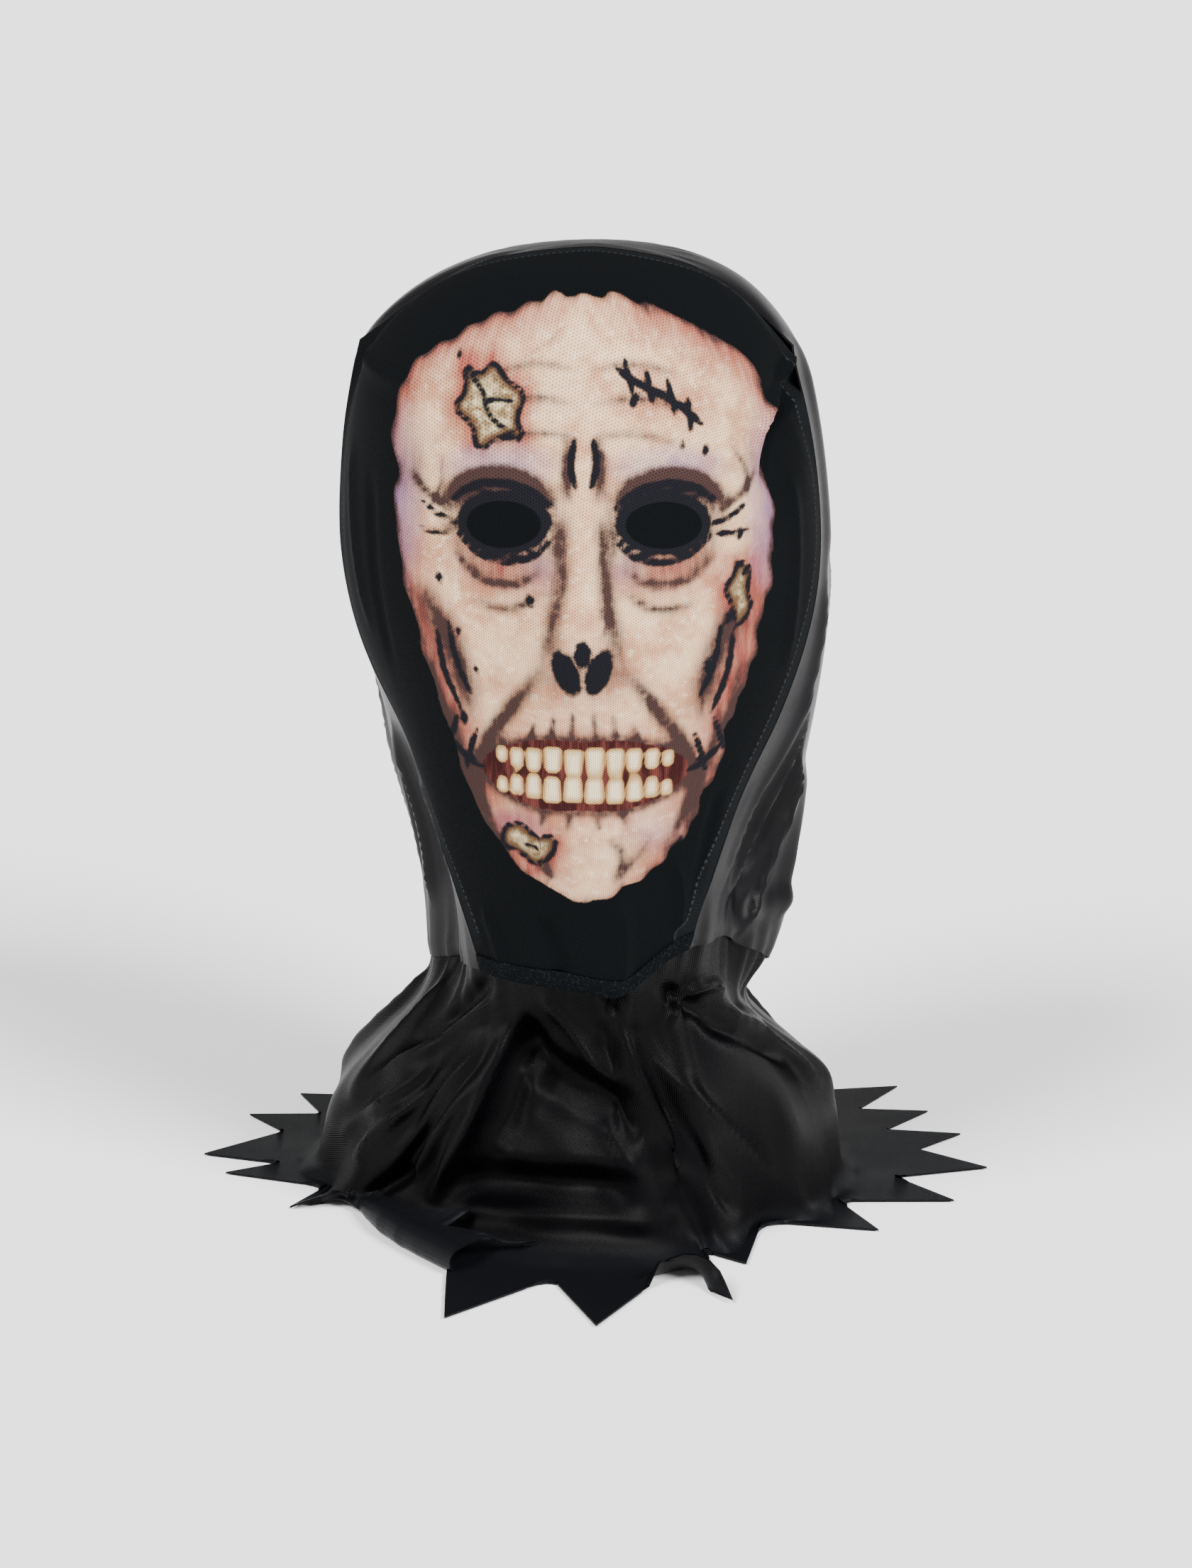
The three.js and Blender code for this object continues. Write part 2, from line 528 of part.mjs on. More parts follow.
// The inside of the cape where it lies against the inside of the hood, at an angle and one of the hood's steps down.
function neckPoint(angle, places) {
  const turn = places[0].angle + ((((angle - places[0].angle) % 360) + 360) % 360);
  const after = Math.max(
    places.findIndex((place) => place.angle > turn),
    1,
  );
  const [a, b] = [places[after - 1], places[after]];
  const share = (turn - a.angle) / (b.angle - a.angle);
  const normal = outward(headPoint, a.angle, a.row).lerp(outward(headPoint, b.angle, b.row), share).normalize();
  const place = headPoint(a.angle, a.row).lerp(headPoint(b.angle, b.row), share);
  return { place: place.addScaledVector(normal, -SATIN - LAP_GAP), normal };
}

// The inside of the cape below the hood, at an angle, a row of CAPE_SECTIONS, and past the last row a share of the
// way to the hem's cut edge.
function capePoint(angle, row, reach, neck) {
  const floor = -(HOOD_DROP + CAPE_DROP);
  const foot = CAPE_SECTIONS.length - 1;
  const at = Math.min(row, foot);
  const fall = alongRows(CAPE_SECTIONS, "fall", at);
  const own = THREE.MathUtils.clamp(alongRows(CAPE_SECTIONS, "own", at), 0, 1);
  const turn = turnBetween(angle, 0);
  const toFront = Math.abs(turn) <= 90;
  const radius =
    sectionRadius(
      angle,
      alongRows(CAPE_SECTIONS, turn >= 0 ? "right" : "left", at) * SHOULDER_HALF_WIDTH,
      alongRows(CAPE_SECTIONS, toFront ? "front" : "back", at) * (toFront ? CHEST_REACH : NAPE_REACH),
    ) + foldsAt(GATHERS, GATHER, angle, fall);
  const body = Math.min(lerp(Math.hypot(neck.x, neck.y), radius, own), reach * (1 - LEAST_HEM));
  const length = lerp(body, reach, Math.max(row - foot, 0));
  const way = new THREE.Vector3(Math.sin(angle * DEGREE), -Math.cos(angle * DEGREE), 0);
  return rolled(way.multiplyScalar(length).setZ(lerp(neck.z, floor, Math.min(fall, 1))), floor);
}

// The shoulder cape, from inside the hood's edge down over the shoulders and out to the pointed hem.
function cape() {
  const cloth = new Cloth("cape", SATIN, satin);
  const foot = CAPE_SECTIONS.length - 1;
  const [above, edge] = [placesRound(PANEL_ROWS), placesRound(PANEL_ROWS + 1)];
  const columns = hemColumns().map(({ angle, reach }) => ({ angle, reach, neck: neckPoint(angle, edge) }));
  const rows = [];
  const addRow = (pointAt) => {
    const ring = columns.map(pointAt);
    rows.push([...ring, ring[0]]);
  };
  addRow(({ angle }) => {
    const { place, normal } = neckPoint(angle, above);
    return cloth.point(place, normal);
  });
  addRow(({ neck }) => cloth.point(neck.place, neck.normal));
  const below = [...CAPE_SECTIONS.keys(), ...HEM_ROWS.map((share) => foot + share)].slice(1);
  for (const row of below) {
    addRow(({ angle, reach, neck }) => {
      const surface = (a, r) => capePoint(a, r, reach, neck.place);
      return cloth.point(surface(angle, row), outward(surface, angle, row));
    });
  }
  cloth.fill(rows);
  return cloth.mesh();
}

const mask = new THREE.Group();
mask.add(facePanel(), chinHem(), hood(), cape());

export default mask;
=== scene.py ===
import math

import bmesh
import bpy
import numpy as np
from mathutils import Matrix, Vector
from mathutils.kdtree import KDTree


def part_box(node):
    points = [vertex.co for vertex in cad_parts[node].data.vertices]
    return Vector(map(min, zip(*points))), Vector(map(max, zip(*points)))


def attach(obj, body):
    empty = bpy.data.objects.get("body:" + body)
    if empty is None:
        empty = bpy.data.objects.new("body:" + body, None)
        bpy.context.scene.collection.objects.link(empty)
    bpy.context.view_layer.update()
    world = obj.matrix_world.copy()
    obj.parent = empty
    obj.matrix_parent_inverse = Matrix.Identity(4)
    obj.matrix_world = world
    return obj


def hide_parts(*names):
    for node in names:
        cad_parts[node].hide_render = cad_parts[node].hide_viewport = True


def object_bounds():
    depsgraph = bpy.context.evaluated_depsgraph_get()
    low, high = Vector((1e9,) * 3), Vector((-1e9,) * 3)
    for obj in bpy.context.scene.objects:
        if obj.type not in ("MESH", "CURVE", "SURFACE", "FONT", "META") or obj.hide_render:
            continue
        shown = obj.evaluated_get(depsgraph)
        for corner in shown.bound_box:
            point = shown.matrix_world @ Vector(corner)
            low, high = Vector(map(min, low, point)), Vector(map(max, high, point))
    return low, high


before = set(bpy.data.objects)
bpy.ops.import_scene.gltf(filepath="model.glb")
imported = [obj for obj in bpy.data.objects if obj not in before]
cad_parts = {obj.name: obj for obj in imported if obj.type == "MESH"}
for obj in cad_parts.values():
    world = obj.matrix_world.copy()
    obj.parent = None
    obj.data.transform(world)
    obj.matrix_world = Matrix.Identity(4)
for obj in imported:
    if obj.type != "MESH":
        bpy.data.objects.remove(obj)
cad_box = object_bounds()

# Face panel: one piece of knitted polyester net, from the crown seam to the hem under the chin. It is dyed
# black and carries a transfer-printed zombie face in flesh colours, whose eyes stay bare so that the wearer
# sees through the mesh. Its top and sides are sewn into the hood.
NET_WALL = 0.0012
NET_CLOTH = 0.0007
NET_PITCH = 1.28
FOLD_ENDS = 0.22  # the share of a fold's length over which it rises at each end
PRINT_CENTRE = 3
PRINT_RADIUS = 100


def pick(piece):
    bpy.ops.object.select_all(action="DESELECT")
    piece.select_set(True)
    bpy.context.view_layer.objects.active = piece


def sheet_of(node, wall, name):
    """The outer side of a CAD cloth shell as an open sheet of quads, with its sharp corners marked."""
    piece = bpy.data.objects.new(name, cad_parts[node].data.copy())
    bpy.context.scene.collection.objects.link(piece)
    shell = bmesh.new()
    shell.from_mesh(piece.data)
    bmesh.ops.remove_doubles(shell, verts=shell.verts, dist=2e-5)
    places = KDTree(len(shell.verts))
    for point in shell.verts:
        places.insert(point.co, point.index)
    places.balance()
    # A point's partner on the cloth's other side is one wall away, and the faces between partners are the rim.
    across = {
        point: {i for _, i, d in places.find_range(point.co, wall + 2e-6) if abs(d - wall) < 2e-6}
        for point in shell.verts
    }
    rim = [f for f in shell.faces if any(b.index in across[a] for a in f.verts for b in f.verts)]
    bmesh.ops.delete(shell, geom=rim, context="FACES")
    sides = []
    left = set(shell.faces)
    while left:
        found = [left.pop()]
        for face in found:
            near = {n for edge in face.edges for n in edge.link_faces if n in left}
            left -= near
            found.extend(near)
        sides.append(found)
    shell.normal_update()

    def outwards(side):
        return sum(
            f.calc_area() * f.normal.dot(f.calc_center_median() * Vector((1, 1, 0)) + Vector((0, 0, 0.01)))
            for f in side
        )

    inner = min(sides, key=outwards)
    bmesh.ops.delete(shell, geom=inner, context="FACES")
    bmesh.ops.join_triangles(
        shell,
        faces=shell.faces,
        angle_face_threshold=math.pi,
        angle_shape_threshold=math.pi,
    )
    # Cut points and other sharp corners stay sharp when the sheet is refined.
    corners = shell.verts.layers.float.new("crease_vert")
    for point in shell.verts:
        border = [edge for edge in point.link_edges if edge.is_boundary]
        if len(border) == 2:
            a, b = [edge.other_vert(point).co - point.co for edge in border]
            if a.angle(b) < math.radians(140):
                point[corners] = 1.0
    shell.to_mesh(piece.data)
    shell.free()
    piece.data.materials.clear()
    return piece


def lay_flat(piece, low, high):
    """Gives a sheet a UV map of its flat cloth, in metres, with the line from low to high upright."""
    pick(piece)
    piece.data.uv_layers.new(name="cloth")
    bpy.ops.object.mode_set(mode="EDIT")
    bpy.ops.mesh.select_all(action="SELECT")
    bpy.ops.uv.unwrap(method="ANGLE_BASED", margin=0)
    bpy.ops.object.mode_set(mode="OBJECT")
    flat = np.zeros(len(piece.data.loops) * 2)
    piece.data.uv_layers.active.data.foreach_get("uv", flat)
    flat = flat.reshape(-1, 2)
    corner = np.zeros(len(piece.data.loops), int)
    piece.data.loops.foreach_get("vertex_index", corner)
    place = points_of(piece)
    cut = 0
    for face in piece.data.polygons:
        x, y = flat[list(face.loop_indices)].T
        cut += abs(np.dot(x, np.roll(y, 1)) - np.dot(y, np.roll(x, 1))) / 2
    flat *= math.sqrt(sum(face.area for face in piece.data.polygons) / cut)
    ends = [flat[np.argmin(np.linalg.norm(place[corner] - np.array(end), axis=1))] for end in (low, high)]
    up = ends[1] - ends[0]
    up /= np.linalg.norm(up)
    turned = (flat - ends[0]) @ np.array([[up[1], up[0]], [-up[0], up[1]]])
    piece.data.uv_layers.active.data.foreach_set("uv", turned.ravel())


def points_of(piece):
    places = np.zeros(len(piece.data.vertices) * 3)
    piece.data.vertices.foreach_get("co", places)
    return places.reshape(-1, 3)


def normals_of(piece):
    normals = np.zeros(len(piece.data.vertices) * 3)
    piece.data.vertices.foreach_get("normal", normals)
    return normals.reshape(-1, 3)


def move_points(piece, places):
    piece.data.vertices.foreach_set("co", places.ravel())
    piece.data.update()


def refine(piece, levels):
    pick(piece)
    rounding = piece.modifiers.new("Rounding", "SUBSURF")
    rounding.levels = rounding.render_levels = levels
    rounding.boundary_smooth = "PRESERVE_CORNERS"
    bpy.ops.object.modifier_apply(modifier=rounding.name)


def even_out(piece, times, lowest=-math.inf):
    """Evens out small flats and jags in a sheet, above lowest and within its edges."""
    pick(piece)
    faces_at = {}
    for face in piece.data.polygons:
        for key in face.edge_keys:
            faces_at[key] = faces_at.get(key, 0) + 1
    border = {point for key, faces in faces_at.items() if faces == 1 for point in key}
    within = [v.index for v in piece.data.vertices if v.co.z > lowest and v.index not in border]
    hanging = piece.vertex_groups.new(name="Hanging")
    hanging.add(within, 1.0, "REPLACE")
    evening = piece.modifiers.new("Evening", "SMOOTH")
    evening.factor = 0.5
    evening.iterations = times
    evening.vertex_group = hanging.name
    bpy.ops.object.modifier_apply(modifier=evening.name)
    piece.vertex_groups.clear()


def thicken(piece, wall):
    pick(piece)
    cloth = piece.modifiers.new("Cloth thickness", "SOLIDIFY")
    cloth.thickness = wall
    cloth.offset = -1
    cloth.use_even_offset = False
    bpy.ops.object.modifier_apply(modifier=cloth.name)
    bpy.ops.object.shade_smooth_by_angle(angle=math.radians(50))


def lay_folds(piece, folds, radius, lowest=-math.inf):
    """Raises ridges, and sinks valleys, along lines on a sheet. A fold is its line, its half width, how far
    it stands out and how sharp it is, 1 for a creased ridge and 0 for a round one. A line's points are a turn
    in degrees and a height in millimetres; radius turns degrees into millimetres."""
    places = points_of(piece)
    turn, height = turn_and_fall(places)
    flat = np.stack([np.radians(turn) * radius, height], 1)
    lift = np.zeros(len(places))
    for line, wide, out, sharp in folds:
        line = np.array(line, float)
        line[:, 0] = np.radians(line[:, 0]) * radius
        away, along = distance_to(flat, rounded(line))
        near = np.clip(away / wide, 0, 1)
        crest = (1 - near) ** (1 + sharp) if sharp else 0.5 + 0.5 * np.cos(np.pi * near)
        ends = np.clip(np.minimum(along, 1 - along) / FOLD_ENDS, 0, 1)
        lift += out * crest * ends * ends * (3 - 2 * ends)
    places += normals_of(piece) * lift[:, None] / 1000
    places[:, 2] = np.maximum(places[:, 2], lowest)
    move_points(piece, places)


def turn_and_fall(places):
    """Each point's turn round the head, in degrees from the front, and its height, in millimetres."""
    return np.degrees(np.arctan2(places[:, 0], -places[:, 1])), places[:, 2] * 1000


def distance_to(places, line):
    """How far each flat point is from a line of points, and how far along it, from 0 to 1."""
    line = np.array(line, float)
    best = np.full(len(places), 1e9)
    share = np.zeros(len(places))
    steps = np.linalg.norm(np.diff(line, axis=0), axis=1)
    walked = np.concatenate([[0], np.cumsum(steps)]) / steps.sum()
    for i in range(len(line) - 1):
        a, b = line[i], line[i + 1]
        t = np.clip((places - a) @ (b - a) / max((b - a) @ (b - a), 1e-9), 0, 1)
        away = np.linalg.norm(places - a - t[:, None] * (b - a), axis=1)
        nearer = away < best
        best[nearer] = away[nearer]
        share[nearer] = (walked[i] + t * (walked[i + 1] - walked[i]))[nearer]
    return best, share


def rounded(line, closed=False, times=2):
    """A line of points with its corners cut, as a smooth curve."""
    line = np.array(line, float)
    for _ in range(times):
        after = np.roll(line, -1, axis=0) if closed else line[1:]
        here = line if closed else line[:-1]
        cut = np.stack([here * 0.75 + after * 0.25, here * 0.25 + after * 0.75], 1).reshape(-1, line.shape[1])
        line = cut if closed else np.vstack([line[:1], cut, line[-1:]])
    return line


def mark(piece, values, name):
    """Writes a number for each point of a piece, which its material reads by that name."""
    made = piece.data.attributes.new(name, "FLOAT", "POINT")
    made.data.foreach_set("value", np.asarray(values, np.float32))


def inside(places, outline):
    """How far inside a closed outline each flat point is, less than 0 outside."""
    loop = np.vstack([outline, outline[:1]])
    away, _ = distance_to(places, loop)
    crossings = np.zeros(len(places), int)
    for (ax, ay), (bx, by) in zip(loop[:-1], loop[1:]):
        spans = (ay > places[:, 1]) != (by > places[:, 1])
        with np.errstate(divide="ignore", invalid="ignore"):
            x = ax + (places[:, 1] - ay) * (bx - ax) / (by - ay)
        crossings += spans & (places[:, 0] < x)
    return np.where(crossings % 2 == 1, away, -away)


def oval(places, centre, half, lean=0):
    """Roughly how far inside an oval each flat point is. lean turns it, in degrees."""
    turn = math.radians(lean)
    spin = np.array([[math.cos(turn), -math.sin(turn)], [math.sin(turn), math.cos(turn)]])
    scaled = (places - np.array(centre)) @ spin / np.array(half)
    return (1 - np.linalg.norm(scaled, axis=1)) * min(half)


def stroke(places, line, width, ends=0.25):
    """How far inside a brush stroke each flat point is. It tapers over ends of its length."""
    away, along = distance_to(places, rounded(line))
    taper = np.clip(np.minimum(along, 1 - along) / ends, 0, 1) ** 0.6
    return width / 2 * (0.25 + 0.75 * taper) - away


panel = sheet_of("face_panel", NET_WALL, "face_panel_net")
lay_flat(panel, (0, -0.1, -0.3), (0, -0.07, -0.02))
refine(panel, 3)

places = points_of(panel)
turn, height = turn_and_fall(places)
print_places = np.stack([np.radians(turn - PRINT_CENTRE) * PRINT_RADIUS, height], 1)
mirrored = print_places.copy()
mirrored[:, 0] = np.abs(mirrored[:, 0])

PRINT_EDGE = rounded(
    [
        (0, -11), (30, -14), (58, -24), (80, -36), (94, -52), (96, -76), (93, -96), (94, -112),
        (88, -134), (84, -152), (78, -166), (74, -184), (66, -200), (63, -218), (57, -232), (50, -248),
        (38, -262), (24, -272), (8, -283), (-10, -280), (-26, -271), (-36, -262), (-50, -244), (-56, -228),
        (-60, -214), (-68, -196), (-71, -178), (-78, -160), (-82, -140), (-89, -120), (-88, -98), (-93, -74),
        (-94, -52), (-80, -36), (-58, -24), (-30, -14),
    ],
    closed=True,
)
flesh = inside(print_places, PRINT_EDGE)
flesh += 1.6 * np.sin(print_places[:, 1] / 5.2) * np.cos(print_places[:, 0] / 9)
flesh += np.sin(print_places.sum(1) / 3.1)


def brush(places, line, wide, strength):
    """A soft brush stroke of dye along a line, strongest at its middle."""
    away, along = distance_to(places, rounded(line))
    ends = np.clip(np.minimum(along, 1 - along) / 0.3, 0, 1)
    return strength * np.clip(1 - away / wide, 0, 1) ** 1.4 * ends**0.7


def wash(places, centre, half, lean=0):
    """A soft wash of dye round a place, 1 at its middle."""
    return np.clip(oval(places, centre, half, lean) / min(half), 0, 1)


# Lines and ovals are in millimetres on the print, right of its middle and above the crown. Those on mirrored
# are printed on both sides of the face; the scars and torn patches are not.
eye = oval(mirrored, (35, -109), (17.5, 10.5), -6)
socket = oval(mirrored, (35, -108), (21.5, 14), -6)
nostril = np.maximum(oval(mirrored, (6.4, -173), (4.8, 10.5), -16), oval(mirrored, (0, -164), (3.0, 6)))
MOUTH = [
    (0, -206), (14, -205), (28, -208), (40, -212), (48, -221), (41, -230), (28, -236), (13, -239), (0, -238),
    (-14, -239), (-14, -205),
]
mouth = inside(mirrored, rounded(MOUTH, closed=True))

# The drawing in black ink: sockets, nostrils and the lines of brow, eyes, nose and cheeks, each with its width.
ink = np.maximum(socket, nostril)
for line, width in (
    ([(13, -100), (22, -93), (36, -90), (50, -93), (60, -101)], 3.6),
    ([(13, -114), (20, -122), (32, -126), (46, -124), (57, -115)], 3.0),
    ([(57, -110), (66, -108), (74, -103)], 2.4),
    ([(57, -114), (67, -116), (76, -115)], 2.4),
    ([(3, -92), (6, -82), (4, -70)], 2.8),
    ([(46, -222), (54, -219), (62, -212)], 3.0),
    ([(48, -204), (52, -214), (55, -224)], 2.6),
    ([(58, -199), (61, -207), (65, -216)], 2.6),
    ([(66, -160), (64, -178), (56, -196)], 2.8),
    ([(60, -156), (57, -174), (50, -188)], 2.4),
):
    ink = np.maximum(ink, stroke(mirrored, line, width))

# Torn patches, where bone shows, with the scars and stitches beside them.
TORN = (
    [
        (-60, -42), (-50, -46), (-45, -39), (-37, -47), (-27, -52), (-31, -63), (-26, -71), (-38, -70),
        (-47, -78), (-50, -66), (-61, -60), (-55, -52),
    ],
    [(-36, -249), (-27, -246), (-22, -252), (-12, -251), (-14, -261), (-22, -266), (-28, -260), (-37, -258)],
    [(70, -128), (76, -133), (73, -142), (76, -150), (68, -158), (66, -147), (62, -140), (67, -135)],
)
bone = np.full(len(places), -30.0)
for patch in TORN:
    bone = np.maximum(bone, inside(print_places, rounded(patch, closed=True, times=1)))
ink = np.maximum(ink, 0.9 - np.abs(bone + 0.4))
for line, width in (
    ([(-57, -44), (-47, -52), (-45, -60), (-38, -66), (-30, -69)], 1.9),
    ([(-46, -56), (-38, -54), (-32, -56)], 1.7),
    ([(14, -40), (26, -48), (40, -54), (54, -66)], 3.0),
    ([(19, -37), (22, -51)], 2.4),
    ([(29, -42), (31, -56)], 2.4),
    ([(39, -46), (41, -61)], 2.4),
    ([(48, -54), (48, -69)], 2.4),
    ([(-26, -256), (-19, -258)], 1.8),
):
    ink = np.maximum(ink, stroke(print_places, line, width, 0.12))

# Small spots of ink, kept off the eyes, the mouth and the torn patch on the brow.
SPOTS = 34
chance = np.random.default_rng(7)
for _ in range(SPOTS):
    x, y, size = chance.uniform(-80, 84), chance.uniform(-262, -30), chance.uniform(0.9, 2.1)
    off_eyes = np.hypot(abs(x) - 35, y + 109) > 32
    off_mouth = np.hypot(x, y + 221) > 46
    off_patch = np.hypot(x + 44, y + 58) > 26
    if off_eyes and off_mouth and off_patch and abs(x) > 18:
        ink = np.maximum(ink, oval(print_places, (x, y), (size, size * 1.6), chance.uniform(-40, 40)))

# Each tooth's distance from the middle of the mouth, half width and half height, and the two rows' heights.
TEETH = ((4.5, 4.1, 6.4), (13.2, 3.9, 6.2), (21.5, 3.6, 5.8), (29.2, 3.3, 5.0), (36.2, 2.9, 4.0))
TOOTH_ROWS = ((-214.8, 1), (-229.0, -1))
TOOTH_CORNER = 2.2
tooth = np.full(len(places), -9.0)
for side in (-1, 1):
    for middle, wide, tall in TEETH:
        for level, way in TOOTH_ROWS:
            drift = chance.uniform(-0.7, 0.7, 2)
            centre = np.array([side * middle + drift[0] * 0.5, level + drift[1] - way * tall * 0.08])
            away = np.abs(print_places - centre)
            away[:, 0] += way * (print_places[:, 1] - level) * -0.07
            off = away - np.array([wide, tall])
            rim = np.linalg.norm(np.maximum(off + TOOTH_CORNER, 0), axis=1) - TOOTH_CORNER
            tooth = np.maximum(tooth, -rim)

# Three dyes over the flesh colour: a brown shade along the face's hollows, a red blush and a blue bruise.
shade = 1.1 * wash(mirrored, (35, -107), (34, 26), -6) ** 0.7
for line, wide, strength in (
    ([(0, -42), (24, -38), (50, -46)], 5, 0.4),
    ([(0, -56), (26, -52), (56, -62)], 5, 0.45),
    ([(0, -70), (22, -67), (48, -76)], 5, 0.4),
    ([(12, -100), (24, -90), (40, -87), (56, -93), (66, -104)], 9, 0.9),
    ([(5, -98), (8, -84), (5, -68)], 6, 0.7),
    ([(9, -104), (8, -128), (12, -152), (17, -170)], 8, 0.6),
    ([(14, -126), (28, -136), (46, -135), (60, -122)], 5, 0.7),
    ([(15, -136), (30, -148), (52, -144)], 5, 0.55),
    ([(15, -168), (25, -184), (40, -204), (50, -222), (46, -246)], 8, 0.75),
    ([(76, -138), (64, -156), (54, -178), (50, -202)], 13, 0.7),
    ([(62, -190), (58, -215), (47, -240), (34, -262)], 6, 0.5),
    ([(70, -172), (67, -196), (62, -214)], 5, 0.5),
    ([(60, -105), (73, -98), (82, -88)], 4, 0.5),
    ([(4, -190), (5, -205)], 3.4, 0.5),
    ([(12, -192), (14, -206)], 3.4, 0.5),
    ([(20, -196), (24, -209)], 3.4, 0.5),
    ([(6, -240), (7, -249)], 3.4, 0.5),
    ([(16, -238), (19, -248)], 3.4, 0.5),
    ([(9, -250), (18, -260), (14, -274)], 6, 0.5),
    ([(30, -250), (24, -262), (10, -276)], 5, 0.35),
):
    shade += 1.5 * brush(mirrored, line, wide, strength)
shade += 0.7 * wash(mirrored, (7, -172), (13, 20))
shade += 0.9 * np.clip(1 - np.abs(mouth) / 5, 0, 1)
shade += 0.35 * wash(mirrored, (76, -84), (14, 30))
shade += 0.5 * np.clip(1 - np.abs(flesh) / 3, 0, 1)
for x, y, lean, long in ((-66, -92, 20, 34), (72, -86, -14, 30), (-20, -30, 60, 26), (8, -150, 10, 16)):
    way = np.array([math.sin(math.radians(lean)), math.cos(math.radians(lean))]) * long / 2
    at = np.array([x, y])
    vein = [at - way, at + (3, 0), at + (-2, 0) + way * 0.5, at + way]
    shade += brush(print_places, vein, 2.4, 0.45)

sides = np.clip(1 - (flesh + 1) / 20, 0, 1) * np.clip(np.abs(print_places[:, 0]) / 45, 0, 1)
shade += 0.4 * sides**2
blush = 0.95 * sides**0.9 + 0.15 * np.clip(1 - (flesh + 1) / 12, 0, 1)
blush += 1.0 * wash(mirrored, (37, -129), (29, 15), 8) ** 0.6
blush += 0.75 * wash(mirrored, (62, -176), (18, 42), -14) ** 0.8
blush += 0.5 * wash(mirrored, (10, -174), (16, 22))
blush += 0.7 * np.clip(1 - np.abs(mouth) / 11, 0, 1)
blush += 0.55 * wash(print_places, (36, -53), (32, 15), -22)
blush += 0.9 * np.clip(1 - np.abs(bone + 2) / 8, 0, 1)
bruise = 0.9 * wash(mirrored, (38, -84), (31, 12), -4) ** 0.7
bruise += 0.85 * wash(mirrored, (88, -104), (17, 46)) ** 0.7
bruise += 0.45 * wash(mirrored, (17, -126), (12, 14))
bruise += 0.4 * wash(mirrored, (30, -250), (18, 12))

for name, values in (
    ("flesh", flesh),
    ("ink", ink),
    ("eye", eye),
    ("mouth", mouth),
    ("tooth", tooth),
    ("bone", bone),
    ("shade", np.clip(shade, 0, 1.4)),
    ("blush", np.clip(blush, 0, 1)),
    ("bruise", np.clip(bruise, 0, 1)),
):
    mark(panel, values, name)

# The seam into the hood: how far in from it each point of the panel is, and how far along, in millimetres.
outline = bmesh.new()
outline.from_mesh(panel.data)
hem_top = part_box("chin_hem")[1].z + 0.002
sewn = [v for v in outline.verts if v.is_boundary and not (v.co.z < hem_top and abs(v.co.x) < 0.05)]


def next_to(point, among):
    """The points of the sheet's edge that come right before and after one, out of some."""
    return [e.other_vert(point) for e in point.link_edges if e.is_boundary and e.other_vert(point) in among]


walk = [next(v for v in sewn if len(next_to(v, sewn)) == 1)]
left = set(sewn) - set(walk)
while after := next_to(walk[-1], left):
    walk.append(after[0])
    left.discard(after[0])
walked = np.concatenate([[0], np.cumsum([(a.co - b.co).length for a, b in zip(walk[:-1], walk[1:])])])
seam_line = KDTree(len(walk))
for i, point in enumerate(walk):
    seam_line.insert(point.co, i)
seam_line.balance()
nearest = [seam_line.find(point.co) for point in outline.verts]
outline.free()
mark(panel, [away * 1000 for _, _, away in nearest], "seam")
mark(panel, [walked[i] * 1000 for _, i, _ in nearest], "seam_run")
spots = np.column_stack([print_places, np.zeros(len(places))]).astype(np.float32)
panel.data.attributes.new("print", "FLOAT_VECTOR", "POINT").data.foreach_set("vector", spots.ravel())
PANEL_FOLDS = [
    ([(94, -36), (72, -50), (57, -62), (47, -86)], 5, 4.5, 1),
    ([(88, -48), (68, -64), (57, -80), (53, -100)], 7, -6.0, 0),
    ([(-78, -44), (-60, -52), (-44, -54)], 8, 2.0, 0.5),
    ([(-70, -80), (-66, -130), (-60, -176)], 7, 1.6, 0.5),
    ([(-58, -90), (-56, -140), (-52, -190)], 6, -1.4, 0),
    ([(66, -90), (64, -140), (58, -190)], 7, 1.8, 0.5),
    ([(-27, -290), (-24, -306), (-22, -322)], 6, 2.2, 0.6),
    ([(-8, -292), (-6, -308), (-3, -324)], 8, -2.0, 0),
    ([(12, -280), (14, -305), (13, -327)], 7, 2.8, 0.6),
    ([(26, -262), (30, -284), (29, -305)], 6, 2.0, 0.6),
    ([(40, -230), (36, -262), (33, -290)], 6, -2.0, 0),
]
lay_folds(panel, PANEL_FOLDS, radius=100)
thicken(panel, NET_CLOTH)


def feed(tree, socket, value):
    """Gives a socket a value, or links another node's output to it."""
    if isinstance(value, bpy.types.NodeSocket):
        tree.links.new(value, socket)
    else:
        socket.default_value = value


def put(tree, kind, settings=None, **sockets):
    """Adds a node. A socket is named with _ for each space."""
    node = tree.nodes.new(kind)
    for name, value in (settings or {}).items():
        setattr(node, name, value)
    for name, value in sockets.items():
        feed(tree, node.inputs[name.replace("_", " ")], value)
    return node


def calc(tree, operation, *values):
    node = tree.nodes.new("ShaderNodeMath")
    node.operation = operation
    for socket, value in zip(node.inputs, values):
        feed(tree, socket, value)
    return node.outputs[0]


def ramp(tree, value, low, high, to_low=0.0, to_high=1.0):
    node = put(tree, "ShaderNodeMapRange", {"interpolation_type": "SMOOTHSTEP"}, Value=value)
    for name, number in (("From Min", low), ("From Max", high), ("To Min", to_low), ("To Max", to_high)):
        node.inputs[name].default_value = number
    return node.outputs[0]


def dye(tree, amount, under, over, how="MIX"):
    node = tree.nodes.new("ShaderNodeMix")
    node.data_type = "RGBA"
    node.blend_type = how
    for socket, value in ((node.inputs[0], amount), (node.inputs[6], under), (node.inputs[7], over)):
        feed(tree, socket, value)
    return node.outputs[2]


def painted(tree, name, output="Fac"):
    return put(tree, "ShaderNodeAttribute", {"attribute_name": name}).outputs[output]


